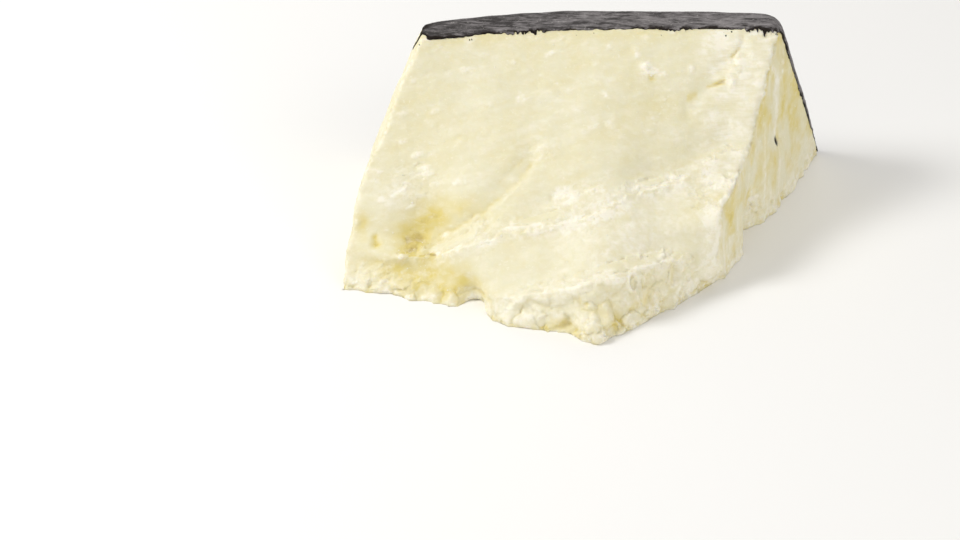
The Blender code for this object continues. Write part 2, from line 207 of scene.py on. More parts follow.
# Streaks on the right end, as (y, z) points, with half width, yellowness and whiteness.
RIGHT_STREAKS = {
    "yellow band": (((0.0600, 0.0850), (0.0490, 0.0680), (0.0420, 0.0520)), 0.0036, 0.40, -0.2),
    "pale streak": (((0.0690, 0.0800), (0.0640, 0.0640), (0.0592, 0.0346)), 0.0020, -0.30, 0.7),
    "yellow mottle": (((0.0741, 0.0600), (0.0800, 0.0450), (0.0890, 0.0330)), 0.0060, 0.30, -0.2),
    "yellow notch": (
        ((0.0005, 0.0440), (0.0010, 0.0370), (0.0031, 0.0290), (0.0015, 0.0180)), 0.0050, 0.65, -0.7,
    ),
}

# The dark speck on the right end: middle and half sizes.
RIGHT_SPECK = np.array((0.1525, 0.0608, 0.0390))
SPECK_SIZE = np.array((0.0014, 0.0014, 0.0032))

# The rind's broken edge: toothed stretches (first x, last x, depth), bites (middle, radius)
# and slivers that reach down (start, end, radius).
RAGGED = (
    (0.0104, 0.0334, 0.0016), (0.0794, 0.0834, 0.0016), (0.0884, 0.1064, 0.0007),
    (0.1314, 0.1494, 0.0030),
)
CHIPS = (((-0.0295, 0.0635, 0.0960), 0.0026),)
SLIVERS = (((-0.0308, 0.0655, 0.0950), (-0.0335, 0.0662, 0.0905), 0.0014),)


MOST_BITS = 2000000


def length_property(name, description, default, smallest, largest):
    """A length in metres that a user may change."""
    return FloatProperty(
        name=name, description=description, default=default, min=smallest, max=largest,
        unit="LENGTH", precision=5,
    )


def density_property(name, description, default):
    """A number of bits on a square metre that a user may change."""
    return FloatProperty(name=name, description=description, default=default, min=0, max=MOST_BITS)


def colour_property(name, description, default):
    """A colour that a user may change."""
    return FloatVectorProperty(
        name=name, description=description, default=default, min=0, max=1, subtype="COLOR", size=3,
    )


class CheeseSizes(bpy.types.PropertyGroup):
    """Sizes of the chunk's surface."""

    step: length_property(
        "Surface step", "Spacing of the points on the smooth breaks", 0.0012, 0.0004, 0.004)
    grain: length_property(
        "Grain height", "Height of the curd grains on the breaks", 0.00018, 0, 0.002)
    flake: length_property(
        "Flake height", "Height of the chipped flakes on rough places", 0.00060, 0, 0.003)
    lump: length_property(
        "Lump height", "Height of the crumbly lumps on the foot", 0.0014, 0, 0.004)
    rind: length_property(
        "Rind depth", "Depth of the dark rind below the skin", 0.0012, 0.0003, 0.005)
    rind_lift: length_property(
        "Rind lift", "How far the rind stands out of the paste", 0.00025, 0, 0.001)
    crumb: length_property("Crumb size", "Radius of a large crumb", 0.0009, 0.0001, 0.003)
    crumb_density: density_property(
        "Crumb density", "Crumbs on a square metre of a rough place", 30000)
    granule_density: density_property(
        "Granule density", "White granules on a square metre of the breaks", 14000)
    scrap_density: density_property(
        "Scrap density", "Scraps of rind on a square metre below the coat", 160000)
    seed: IntProperty(name="Seed", description="Seed of the scattered crumbs", default=7, min=0)


class CheeseColours(bpy.types.PropertyGroup):
    """Colours of the chunk and the stage."""

    paste: colour_property("Paste", "The broken paste", (0.80, 0.755, 0.545))
    # Also the painted shade in hollows, creases and grooves.
    hollow: colour_property(
        "Hollows", "The yellower, clearer paste in hollows and cracks", (0.74, 0.62, 0.22))
    pore: colour_property(
        # Also the painted shade deep in pores and cracks.
        "Pores", "The dark ochre paste deep in pores and cracks", (0.42, 0.30, 0.08))
    # Also the painted highlights on crests, ridges, bump tops and pebbles.
    bloom_and_highlight: colour_property(
        "Crushed paste", "The whiter paste on ridges and scratches", (0.93, 0.885, 0.74))
    speck: colour_property("Speck", "The dark speck on the right end", (0.03, 0.025, 0.02))
    rind_dark: colour_property("Rind", "The dark coat of the rind", (0.030, 0.025, 0.024))
    rind_edge: colour_property(
        "Rind edge", "The nearly black broken edge of the rind", (0.012, 0.008, 0.005))
    # The grey of worn streaks, which also serves as a painted sheen that lightens the coat towards the
    # right.
    rind_wear_and_sheen: colour_property(
        "Worn rind", "The grey, worn streaks of the rind", (0.27, 0.25, 0.25))
    dust: colour_property("Dust", "The pale dust on the rind", (0.50, 0.48, 0.44))
    floor: colour_property("Floor", "The pale floor", (0.93, 0.92, 0.90))


# ---------------------------------------------------------------- mesh helpers


def new_piece(name, mesh, material=None):
    """Link a mesh to the scene as a new object."""
    piece = bpy.data.objects.new(name, mesh)
    bpy.context.scene.collection.objects.link(piece)
    if material:
        mesh.materials.clear()
        mesh.materials.append(material)
    return piece


def drop(piece):
    """Remove a helper object and its mesh."""
    mesh = piece.data
    bpy.data.objects.remove(piece)
    bpy.data.meshes.remove(mesh)


def modified(mesh, kind, inputs=None, **settings):
    """What a modifier makes of a mesh, which is used up. Its inputs go by identifier."""
    helper = new_piece("helper", mesh)
    modifier = helper.modifiers.new("Helper", kind)
    for name, value in settings.items():
        setattr(modifier, name, value)
    for identifier, value in (inputs or {}).items():
        modifier[identifier] = value
    bpy.context.view_layer.update()
    evaluated = helper.evaluated_get(bpy.context.evaluated_depsgraph_get())
    result = bpy.data.meshes.new_from_object(evaluated)
    drop(helper)
    return result


def read_rows(items, field, width, kind=np.float32):
    """A field of a mesh's items, with one row of numbers for each."""
    flat = np.empty(len(items) * width, kind)
    items.foreach_get(field, flat)
    return flat.reshape(-1, width)


def read_points(mesh):
    """The places of a mesh's vertices."""
    return read_rows(mesh.vertices, "co", 3).astype(float)


def read_normals(mesh):
    """The directions square to the surface at a mesh's vertices."""
    return read_rows(mesh.vertex_normals, "vector", 3).astype(float)


def read_edges(mesh):
    """The vertex pairs of a mesh's edges."""
    return read_rows(mesh.edges, "vertices", 2, np.int32)


def read_attribute(mesh, name):
    """The numbers that write_attribute kept."""
    return read_rows(mesh.attributes[name].data, "value", 1).astype(float)[:, 0]


def write_points(mesh, points):
    """Move a mesh's vertices."""
    mesh.vertices.foreach_set("co", points.astype(np.float32).ravel())
    mesh.update()


def write_attribute(mesh, name, values):
    """Keep one number per vertex on the mesh, for its material."""
    layer = mesh.attributes.get(name) or mesh.attributes.new(name, "FLOAT", "POINT")
    layer.data.foreach_set("value", values.astype(np.float32))


def relaxed(values, edges, rounds):
    """Values per vertex, each drawn halfway to the mean of its neighbours."""
    columns = values.reshape(len(values), -1).copy()
    first, second = edges[:, 0], edges[:, 1]
    count = np.bincount(edges.ravel(), minlength=len(columns))
    for _ in range(rounds):
        for axis in range(columns.shape[1]):
            column = columns[:, axis]
            total = np.bincount(first, column[second], len(column))
            total += np.bincount(second, column[first], len(column))
            columns[:, axis] = 0.5 * column + 0.5 * total / count
    return columns.reshape(values.shape)


# ------------------------------------------------------------ shape vocabulary

# Soft lumps: width (or its three widths along x, y and z), seed, octaves and strength.
# The strength is in metres where the lumps move or raise something, and else a share.
LUMPY = {
    "roughness": (0.008, 12, 1, 0.6),
    "flake grain": (0.0012, 15, 1, 0.15),
    "curd": (0.0036, 22, 1, 0.8),
    "fine curd": (0.0018, 23, 1, 0.7),
    "soft waves": (0.012, 24, 1, 1.1),
    "clusters": (0.013, 32, 2, 1.0),
    "slab streaks": (0.0045, 33, 2, 1.0),
    "bent grains": (0.003, 34, 1, 0.0008),
    "bent foot": (0.006, 35, 2, 0.0022),
    "bent lines": (0.006, 41, 2, 0.0010),
    "patchy lines": (0.010, 43, 1, 0.9),
    "cloudy hollows": (0.0065, 44, 2, 0.7),
    "flaky lumps": (0.003, 45, 1, 0.7),
    "jagged ledges": (0.0060, 46, 3, 0.0010),
    "finely jagged ledges": (0.0016, 47, 1, 0.0003),
    "flaky ledges": (0.0044, 48, 2, 1.1),
    "saw scratches": ((0.018, 0.05, 0.0022), 51, 1, 1.0),
    "saw clouds": (0.0065, 52, 1, 0.7),
    "saw edge": (0.012, 53, 1, 0.0035),
    "upright mottles": ((0.004, 0.004, 0.030), 61, 1, 0.10),
    "mottles": ((0.009, 0.009, 0.012), 62, 2, 1.0),
    "upright scratches": ((0.0030, 0.0030, 0.05), 63, 1, 1.0),
    "left clouds": (0.015, 64, 1, 0.25),
    "upright grooves": ((0.0024, 0.0024, 0.03), 65, 1, 0.0001),
    "bent streaks": (0.006, 66, 2, 0.0012),
    "rind edge": (0.005, 71, 1, 0.30),
    "fine rind edge": (0.0016, 72, 1, 0.30),
    "teeth": ((0.0020, 0.0080, 0.0060), 73, 1, 0.7),
    "fine teeth": ((0.0011, 0.0060, 0.0040), 74, 1, 0.9),
    "scraps": (0.006, 75, 1, 1.0),
    "rind streaks": ((0.030, 0.0016, 0.0016), 81, 3, 0.00020),
    "rind waves": ((0.022, 0.014, 0.014), 83, 2, 0.00045),
}

# Grains and chips: width and seed.
CELLS = {
    "flakes": (0.0048, 13),
    "small flakes": (0.0026, 14),
    "foot lumps": (0.0088, 16),
    "small foot lumps": (0.0042, 17),
    "edge chips": (0.0056, 18),
    "small edge chips": (0.0028, 19),
    "curd grains": (0.0036, 31),
    "rind pits": (0.0035, 82),
}

# How far a pattern moves for each step of its seed, in its own widths.
LUMPY_SHIFT = np.array((3.1, 1.7, 2.3))
CELL_SHIFT = np.array((2.9, 1.3, 3.7))

# The roundness of a grain, the step between chips, and how far apart their draws are taken.
GRAIN_SPREAD = 0.6
CHIP_STEP = 0.6
GRAIN_DRAWS = 13.7
CHIP_DRAWS = 7.0


def hump(distance):
    """1 in the middle of a feature, fading to nothing past its edge."""
    return np.exp(-np.square(distance))


def ramp(values, start, end):
    """0 before start and 1 after end, with a soft turn at both."""
    t = np.clip((values - start) / (end - start), 0, 1)
    return t * t * (3 - 2 * t)


def fall(values, start, end):
    """1 before start and 0 after end, with a soft turn at both."""
    return ramp(-values, -end, -start)


def end_fade(along, reach):
    """1 along a line, fading to nothing over a share of it at both ends."""
    return ramp(along, 0.0, reach) * ramp(1 - along, 0.0, reach)


def lumpy(points, name, seed_step=0):
    """Soft lumps in a pattern of LUMPY, as high and as deep as its strength."""
    size, seed, octaves, strength = LUMPY[name]
    flat = (points / np.array(size) + (seed + seed_step) * LUMPY_SHIFT).tolist()
    if octaves == 1:
        return strength * np.array([noise.noise(point) for point in flat])
    return strength * np.array([noise.fractal(point, 1.0, 2.0, octaves) for point in flat])


def wander(points, name, axes):
    """Soft moves along two or three axes, as far as the pattern's strength."""
    return np.stack([lumpy(points, name, axis) for axis in range(axes)], axis=-1)


def along_slabs(points, share):
    """Points drawn together along the slab run, so that a pattern on them is stretched."""
    along = points @ SLAB_RUN
    return points - share * along[:, None] * SLAB_RUN


def cell_points(points, name):
    """Points measured in the widths of a pattern of CELLS."""
    size, seed = CELLS[name]
    return (points / size + seed * CELL_SHIFT).tolist()


def grains(points, name):
    """Rounded grains of curd, 1 on top and 0 in the grooves, and a number for each grain."""
    nearest, values = [], []
    for point in cell_points(points, name):
        distances, places = noise.voronoi(point)
        nearest.append(distances[0])
        values.append(noise.cell(places[0] * GRAIN_DRAWS))
    return np.sqrt(np.clip(1 - np.square(nearest) / GRAIN_SPREAD, 0, 1)), np.array(values)


def facets(points, name):
    """Flat tilted chips with crisp steps between them, from about -0.5 to 0.5."""
    values = []
    for point in cell_points(points, name):
        centre = noise.voronoi(point)[1][0]
        tilt = noise.cell_vector(centre * CHIP_DRAWS) - Vector((0.5, 0.5, 0.5))
        values.append((Vector(point) - centre).dot(tilt) + CHIP_STEP * tilt.x)
    return np.array(values)


def line_place(places, line):
    """Distance above a line of (x, z) points, negative below it, and how far along it is."""
    line = np.array(line)
    nearest = np.full(len(places), np.inf)
    side = np.ones(len(places))
    along = np.zeros(len(places))
    lengths = np.linalg.norm(np.diff(line, axis=0), axis=1)
    starts = np.concatenate([[0], np.cumsum(lengths)])
    for index, length in enumerate(lengths):
        span = line[index + 1] - line[index]
        offset = places - line[index]
        t = np.clip(offset @ span / length ** 2, 0, 1)
        away = offset - t[:, None] * span
        distance = np.linalg.norm(away, axis=1)
        closer = distance < nearest
        nearest = np.where(closer, distance, nearest)
        turn = (span[0] * away[:, 1] - span[1] * away[:, 0]) * span[0]
        side = np.where(closer, np.where(turn < 0, -1, 1), side)
        along = np.where(closer, (starts[index] + t * length) / starts[-1], along)
    return nearest * side, along


def round_place(places, middle, half_sizes):
    """1 in the middle of a round place, fading to nothing past its edge."""
    return hump(np.linalg.norm((places - np.array(middle)) / np.array(half_sizes), axis=1))


def rounded_min(first, second, radius):
    """The smaller of two depths, rounded where both are small."""
    smaller = np.minimum(first, second)
    corner = np.hypot(np.clip(radius - first, 0, None), np.clip(radius - second, 0, None))
    return np.where(smaller > radius, smaller, radius - corner)


def skin_depth(points):
    """How deep points lie below the skin of the wheel."""
    x, y, z = points.T
    share = z / HEIGHT
    on_left = x < BOW_MIDDLE_X
    bow = (x - BOW_MIDDLE_X) ** 2 / (2 * np.where(on_left, BOW_RADIUS_LEFT, BOW_RADIUS_RIGHT))
    back = (BACK_BASE_Y - BACK_LEAN * share - bow - y) / math.hypot(1, BACK_LEAN / HEIGHT)
    right = (RIGHT_BASE_X - RIGHT_LEAN * share - x) / math.hypot(1, RIGHT_LEAN / HEIGHT)
    left = x - LEFT_BASE_X - LEFT_LEAN * share + LEFT_FLARE * (BACK_BASE_Y - y)
    left = left / math.hypot(1, LEFT_LEAN / HEIGHT)
    corner = np.where(on_left, LEFT_CORNER_RADIUS, RIGHT_CORNER_RADIUS)
    sides = rounded_min(back, np.minimum(left, right), corner)
    return rounded_min(sides, HEIGHT - z, SHOULDER_RADIUS)


# ----------------------------------------------------------------------- paste

# How far a normal turns to a side, from 0 to 1: where the front and the ends fade in, and
# past which a face counts as base or back, and as level.
FRONT_SLOPES = (0.15, 0.45)
BESIDE_FRONT_SLOPES = (0.55, 0.75)
END_SLOPES = (0.5, 0.8)
FACING = 0.8
LEVEL = 0.97

# Roughness of the ledges, of the lowest part of the ends and of the edges between sides.
LEDGE_ROUGHNESS = 0.75
LOW_ROUGHNESS = 0.8
EDGE_ROUGHNESS = 3.2

# Where the mesh is finest: broken places below the skin, and the rind's teeth.
LEAST_BROKEN = 0.42
SKIN_MARGIN = 0.0008
LEAST_FRONT = 0.1
TEETH_DEPTH = 0.0055
TEETH_LOWEST = 0.08

# Half the blend over a ledge's step, and heights of the chips, scratches and dark speck.
LEDGE_STEP = 0.0007
EDGE_CHIP_HEIGHT = 0.0018
SCRATCH_HEIGHT = 0.0001
SPECK_DEPTH = 0.0010

# Where the relief is calm, below the skin and over the base, and where it tints the paste.
CALM_SKIN = (0.0004, 0.0020)
CALM_BASE = (0.0, 0.0015)
# Painted shade yellows where the relief is sunk; where it is raised, the white is partly crushed paste
# and partly a painted highlight.
SUNK_SHADE = (0.00008, 0.0008)
RAISED_CRUSH_AND_HIGHLIGHT = (0.00008, 0.0006)

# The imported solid's ridges that are smoothed: how much they stand out, and from which x.
RIDGE_HEIGHTS = (0.00005, 0.0004)
RIDGE_FROM_X = (-0.030, -0.010)

# Rounds of smoothing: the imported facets, the ridges between them, the directions, the relief.
FACET_ROUNDS = 3
RIDGE_ROUNDS = 10
NORMAL_ROUNDS = 8
RELIEF_ROUNDS = 12


def front_share(normals):
    """1 on the front break, 0 on the other sides."""
    return ramp(-normals[:, 1], *FRONT_SLOPES) * (1 - ramp(normals[:, 0], *BESIDE_FRONT_SLOPES))


def foot_share(points):
    """1 below the upper edge of the foot, 0 above it."""
    toe = np.interp(points[:, 0], *np.transpose(TOE_LINE))
    return ramp(toe - points[:, 2], *TOE_FADE)


def broken_share(points, front):
    """1 where a break is crumbly and flaky, 0 where it is smooth."""
    places = points[:, (0, 2)]
    share = foot_share(points)
    for line, width, rise, _ in LEDGES.values():
        if rise > LEAST_ROUGH_LEDGE:
            above, _ = line_place(places, line)
            share = np.maximum(share, LEDGE_ROUGHNESS * hump(above / (LEDGE_REACH * width)))
    for middle, half_sizes, strength in ROUGH_PATCHES.values():
        share = np.maximum(share, strength * round_place(places, middle, half_sizes))
    low = LOW_ROUGHNESS * fall(points[:, 2], 0.004, 0.012)
    share = front * share + (1 - front) * low
    share = np.maximum(share, EDGE_ROUGHNESS * front * (1 - front))
    return np.clip(share * (1 + lumpy(points, "roughness")), 0, 1)


def packed_form():
    """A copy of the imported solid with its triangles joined."""
    welded = bmesh.new()
    welded.from_mesh(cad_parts[NODE].data)
    bmesh.ops.remove_doubles(welded, verts=welded.verts, dist=WELD)
    form = bpy.data.meshes.new("form")
    welded.to_mesh(form)
    welded.free()
    return form


def is_shown(face):
    """True for faces of the breaks and the top, which get the finer surface."""
    on_base = face.normal.z < -FACING
    on_back = face.normal.y > FACING
    return not (on_base or on_back)


def are_finest(faces):
    """True for faces of broken places and of the rind's teeth, which get the finest surface."""
    middles = np.array([face.calc_center_median() for face in faces]) - MARK
    normals = np.array([face.normal for face in faces])
    front = front_share(normals)
    depth = skin_depth(middles)
    rough = (broken_share(middles, front) > LEAST_BROKEN) & (depth > SKIN_MARGIN)
    toothed = np.zeros(len(middles), bool)
    for start, end, _ in RAGGED:
        toothed |= (middles[:, 0] > start) & (middles[:, 0] < end)
    toothed &= (front > LEAST_FRONT) & (depth < TEETH_DEPTH) & (middles[:, 2] > TEETH_LOWEST)
    return (rough | toothed) & (np.abs(normals[:, 2]) < LEVEL)


def subdivide(body, chosen):
    """Halve the edges of the chosen faces."""
    edges = {edge for face, pick in zip(body.faces, chosen) if pick for edge in face.edges}
    bmesh.ops.subdivide_edges(body, edges=list(edges), cuts=1, use_grid_fill=True)


def fine_body(step):
    """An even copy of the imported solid: finest where it is broken, coarse on base and back."""
    form = packed_form()
    even = modified(form.copy(), "REMESH", mode="VOXEL", voxel_size=2 * step)
    body = bmesh.new()
    body.from_mesh(even)
    subdivide(body, [is_shown(face) for face in body.faces])
    body.normal_update()
    subdivide(body, are_finest(body.faces))
    body.to_mesh(even)
    body.free()
    target = new_piece("form", form)
    fitted = modified(even, "SHRINKWRAP", target=target, wrap_method="NEAREST_SURFACEPOINT")
    drop(target)
    fitted.name = "chunk_paste"
    return fitted


class Surface:
    """The points of the breaks, with the height, the yellow and the white that features add."""

    def __init__(self, points, normals, sizes):
        self.points = points
        self.z = points[:, 2]
        self.sizes = sizes
        self.front = front_share(normals)
        self.right = ramp(normals[:, 0], *END_SLOPES)
        self.left = ramp(-normals[:, 0], *END_SLOPES)
        self.loose = np.clip(self.front + self.right + self.left, 0, 1)
        self.foot = foot_share(points) * self.front
        self.smooth = ramp(points[:, 0], -0.010, 0.010) * fall(self.z, 0.055, 0.075)
        self.broken = broken_share(points, self.front) * (1 - 0.6 * self.foot)
        self.places = points[:, (0, 2)] + wander(points, "bent lines", 2)
        self.patchy = np.clip(0.85 + lumpy(points, "patchy lines"), 0.15, 1.5)
        self.height = np.zeros(len(points))
        self.yellow = np.zeros(len(points))
        self.white = np.zeros(len(points))
        self.speck = hump(np.linalg.norm((points - RIGHT_SPECK) / SPECK_SIZE, axis=1))
        self.edge = np.clip(4 * self.front * (1 - self.front), 0, 1) * self.loose


def add_grain(surface):
    """The fine curd texture of every break: soft waves, and clusters of small bumps with painted
    highlights on their pale tops.
    """
    points, grain = surface.points, surface.sizes.grain
    texture = lumpy(points, "curd") + lumpy(points, "fine curd")
    smooth_waves = lumpy(along_slabs(points, 0.5), "soft waves")
    surface.height += grain * (texture + smooth_waves) * surface.loose
    bent = along_slabs(points, 0.45) + lumpy(points, "bent grains")[:, None]
    bumps, tone = grains(bent, "curd grains")
    clusters = ramp(lumpy(points, "clusters") + 0.5 * surface.broken, -0.20, 0.30)
    chosen = ramp(tone, 0.20, 0.60) * clusters * surface.loose * (1.2 - 0.8 * surface.smooth)
    surface.height += 3.2 * grain * (bumps - 0.5) * chosen
    # Painted highlight: the tops of the bumps are whitened.
    surface.white += 0.55 * ramp(bumps, 0.60, 0.95) * chosen
    streaks = lumpy(along_slabs(points, 0.8), "slab streaks")
    surface.height += 0.4 * grain * streaks * surface.front
    surface.white += 0.14 * ramp(streaks, 0.05, 0.45) * surface.front
    surface.yellow += 0.08 * ramp(-streaks, 0.05, 0.45) * surface.front


def add_flakes(surface):
    """Chipped flakes where the breaks are rough, stretched along the slab run."""
    points = surface.points
    large = facets(along_slabs(points, 0.6), "flakes")
    small = facets(along_slabs(points, 0.5), "small flakes")
    chips = 0.8 * large + 0.5 * small + lumpy(points, "flake grain")
    surface.height += surface.sizes.flake * chips * surface.broken * surface.loose
    surface.white += surface.broken * ramp(large + 0.7 * small, -0.1, 0.5) * surface.loose * 0.55
    surface.yellow += surface.broken * ramp(-large - 0.5 * small, 0.15, 0.6) * surface.loose * 0.18


def add_foot(surface):
    """The crumbly foot: rounded lumps of curd with painted highlights, and yellow painted shade in the
    grooves and along the base.
    """
    lump = surface.sizes.lump
    near_base = fall(surface.z, 0.003, 0.012) * surface.loose
    crumbly = np.clip(0.65 * surface.foot + 0.7 * near_base, 0, 1)
    bent = surface.points + wander(surface.points, "bent foot", 3)
    large, tone = grains(bent, "foot lumps")
    small, _ = grains(bent, "small foot lumps")
    surface.height += lump * (large ** 2 - 0.45 + 0.5 * (tone - 0.5)) * crumbly
    surface.height += 0.22 * lump * (small ** 2 - 0.45) * crumbly
    # Painted shade: yellow in the grooves between the lumps.
    surface.yellow += crumbly * (0.50 * fall(large, 0.15, 0.60) + 0.10 * fall(small, 0.1, 0.5))
    # Painted shade: yellow along the lowest few millimetres, over the floor.
    surface.yellow += 0.35 * fall(surface.z, 0.0005, 0.004) * surface.loose
    # Painted highlight: the tops of the large lumps are whitened.
    surface.white += crumbly * 0.5 * ramp(large, 0.60, 0.95)


def add_ledges(surface):
    """Crests that end in a jagged step, with a trough above it, whitened partly as crushed paste and
    partly as a painted highlight.
    """
    points = surface.points
    jagged = lumpy(points, "jagged ledges") + lumpy(points, "finely jagged ledges")
    flaky = np.clip(0.65 + lumpy(along_slabs(points, 0.5), "flaky ledges"), 0, 1.4)
    for line, width, rise, whiteness in LEDGES.values():
        above, along = line_place(surface.places, line)
        above = above + jagged
        ends = end_fade(along, 0.10) * surface.front * np.clip(surface.patchy, 0.55, 1.3)
        over = ramp(above, -LEDGE_STEP, LEDGE_STEP)
        crest = (1 - over) * np.exp(np.minimum(above, 0) / (1.3 * width))
        trough = over * np.exp(-np.maximum(above, 0) / (1.3 * width))
        surface.height += rise * (crest * (0.6 + 0.4 * flaky) - 0.30 * trough) * ends
        # Painted highlight, partly crushed paste: the crest is whitened.
        surface.white += whiteness * hump((above + 0.2 * width) / (1.3 * width)) * ends * flaky


def add_creases(surface):
    """Grooves and cracks, yellowed partly by the paste's tone and partly as painted shade."""
    for line, width, depth, yellowness in CREASES.values():
        above, along = line_place(surface.places, line)
        groove = hump(above / width) * end_fade(along, 0.06) * surface.front
        groove *= np.clip(surface.patchy, 0.7, 1.3)
        surface.height -= depth * groove
        surface.yellow += yellowness * groove


def add_round_places(surface):
    """Hollows and pores, yellowed partly by the paste's tone and partly as painted shade, and lumps."""
    flaky = np.clip(0.8 + lumpy(surface.points, "flaky lumps"), 0.2, 1.4)
    cloudy = np.clip(0.95 + lumpy(surface.points, "cloudy hollows"), 0.4, 1.25)
    for middle, half_sizes, depth, yellowness in HOLLOWS.values():
        dip = round_place(surface.places, middle, half_sizes) * surface.front
        surface.height -= depth * dip
        # Painted shade, partly the paste's tone: the hollow is yellowed and made less white.
        surface.yellow += yellowness * dip * cloudy
        surface.white -= 0.6 * yellowness * dip
    for middle, half_sizes, rise, whiteness in LUMPS.values():
        lump = round_place(surface.places, middle, half_sizes) * surface.front
        surface.height += rise * lump
        surface.white += whiteness * lump * flaky


def saw_share(points, front):
    """1 on the sawn band along the right edge of the front."""
    left_x = SAW_LEFT_X + lumpy(points, "saw edge")
    saw = ramp(points[:, 0] - left_x, -SAW_FADE, SAW_FADE) * front
    return saw * ramp(points[:, 2], *SAW_LOWEST)


def add_saw_marks(surface):
    """Fine level scratches, crushed white."""
    saw = saw_share(surface.points, surface.front)
    scratch = lumpy(surface.points, "saw scratches")
    surface.height += SCRATCH_HEIGHT * scratch * saw
    cloudy = lumpy(surface.points, "saw clouds")
    low = fall(surface.z, 0.035, 0.055)
    surface.white += saw * (0.30 + 0.3 * np.clip(scratch, 0, 1) + cloudy + 0.4 * low)


def add_right_end(surface):
    """Yellow mottling, partly tone and partly painted shade, pale upright scratches, streaks and the pit
    of the dark speck.
    """
    points, right = surface.points, surface.right
    # Painted shade, partly the paste's tone: the whole end is yellowed under its mottles, less so low
    # down.
    mottles_and_shade = 0.40 + lumpy(points, "mottles") + lumpy(points, "upright mottles")
    mottles_and_shade -= 0.15 * fall(surface.z, 0.020, 0.050)
    surface.yellow += right * np.clip(mottles_and_shade, 0.05, 1.0)
    scratches = np.clip(lumpy(points, "upright scratches") - 0.15, 0, 1)
    near_front = fall(points[:, 0], 0.153, 0.163)
    surface.white += right * scratches * (0.2 + 0.9 * near_front)
    surface.white += 0.25 * right * fall(surface.z, 0.014, 0.032)
    beside = ramp(points[:, 0], 0.100, 0.115) * (1 - surface.front)
    places = points[:, (1, 2)] + lumpy(points, "bent streaks")[:, None]
    for line, width, yellowness, whiteness in RIGHT_STREAKS.values():
        away, along = line_place(places, line)
        streak = hump(away / width) * end_fade(along, 0.1) * beside
        surface.yellow += yellowness * streak
        surface.white += whiteness * streak
    surface.height += right * lumpy(points, "upright grooves")
    surface.height -= SPECK_DEPTH * surface.speck


def add_left_end(surface):
    """Faint yellow clouds on the left end."""
    surface.yellow += surface.left * (0.10 + lumpy(surface.points, "left clouds"))


def add_edges(surface):
    """Chips along the edges between the front and the ends."""
    chips = facets(surface.points, "edge chips") + 0.7 * facets(surface.points, "small edge chips")
    surface.height += EDGE_CHIP_HEIGHT * (chips - 0.15) * surface.edge


# The features of the relief, in the order in which they are added.
FEATURES = (
    add_grain, add_flakes, add_foot, add_ledges, add_creases, add_round_places, add_saw_marks,
    add_right_end, add_left_end, add_edges,
)


def eased_points(mesh, points, edges):
    """The mesh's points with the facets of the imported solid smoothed, most along its ridges."""
    eased = relaxed(points, edges, FACET_ROUNDS)
    soft = relaxed(eased, edges, RIDGE_ROUNDS)
    ridge = ((eased - soft) * read_normals(mesh)).sum(axis=1)
    ridge = ramp(ridge, *RIDGE_HEIGHTS) * ramp(eased[:, 0] - MARK[0], *RIDGE_FROM_X)
    return eased + ridge[:, None] * (soft - eased)


def build_paste(sizes):
    """The body of paste, with its relief and the masks that its material reads."""
    mesh = fine_body(sizes.step)
    edges = read_edges(mesh)
    points = read_points(mesh)
    base = points[:, 2] < LOW.z + BASE_MARGIN
    eased = eased_points(mesh, points, edges)
    eased[:, 2] = np.where(base, points[:, 2], eased[:, 2])
    write_points(mesh, eased)

    normals = relaxed(read_normals(mesh), edges, NORMAL_ROUNDS)
    normals /= np.linalg.norm(normals, axis=1, keepdims=True)
    surface = Surface(eased - MARK, normals, sizes)
    for add_feature in FEATURES:
        add_feature(surface)

    depth = skin_depth(surface.points)
    calm = ramp(depth, *CALM_SKIN) * ramp(eased[:, 2] - LOW.z, *CALM_BASE)
    final = eased + (surface.height * calm)[:, None] * normals
    final[:, 2] = np.clip(final[:, 2], LOW.z, HIGH.z)
    final[:, 2] = np.where(base, LOW.z, final[:, 2])
    write_points(mesh, final)

    relief = ((final - relaxed(final, edges, RELIEF_ROUNDS)) * normals).sum(axis=1)
    for name, values in {**paste_masks(surface, depth, relief), **bit_masks(surface, depth)}.items():
        write_attribute(mesh, name, values)
    mesh.shade_smooth()
    return mesh


def paste_masks(surface, depth, relief):
    """Numbers for the paste's material: yellower painted shade where it is sunk, whiter where it is
    raised, partly as a painted highlight.
    """
    # Painted shade in the hollows of the relief, and white on its ridges, partly a painted highlight.
    sunk_shade = ramp(-relief, *SUNK_SHADE) * surface.loose
    raised_crush_and_highlight = ramp(relief, *RAISED_CRUSH_AND_HIGHLIGHT) * surface.loose * (1 - surface.edge)
    return {
        "skin_depth": depth,
        "yellow": np.clip(surface.yellow + 0.35 * sunk_shade, 0, 1.8),
        "white": np.clip(surface.white + 0.4 * raised_crush_and_highlight, 0, 1),
        "broken": surface.broken,
        "saw": saw_share(surface.points, surface.front),
        "speck": np.clip(surface.speck, 0, 1),
    }


def bit_masks(surface, depth):
    """Where crumbs, granules and scraps of rind may lie on the paste."""
    clear = ramp(surface.z, 0.0010, 0.0025) * ramp(depth, 0.0020, 0.0040) * surface.loose
    rim = surface.front * fall(depth, 0.0018, 0.0042) * ramp(depth, 0.0012, 0.0016)
    return {
        "crumbs": surface.broken ** 2 * clear,
        "granules": ramp(lumpy(surface.points, "clusters"), 0.0, 0.4) * clear,
        "scraps": rim * ramp(lumpy(surface.points, "scraps"), 0.1, 0.4),
    }


# ------------------------------------------------------------------------ rind

# The coat: its thickness, its pits and the least that it stands out of the paste.
RIND_THICKNESS = 0.0007
RIND_PIT_DEPTH = 0.00012
LEAST_COVER = 0.0001

# Its broken edge: how the teeth fade in, a bite's depth in rind depths, a sliver's reach.
TEETH_FADE = (-0.001, 0.004)
BITE = 4
SLIVER_REACH = 0.02

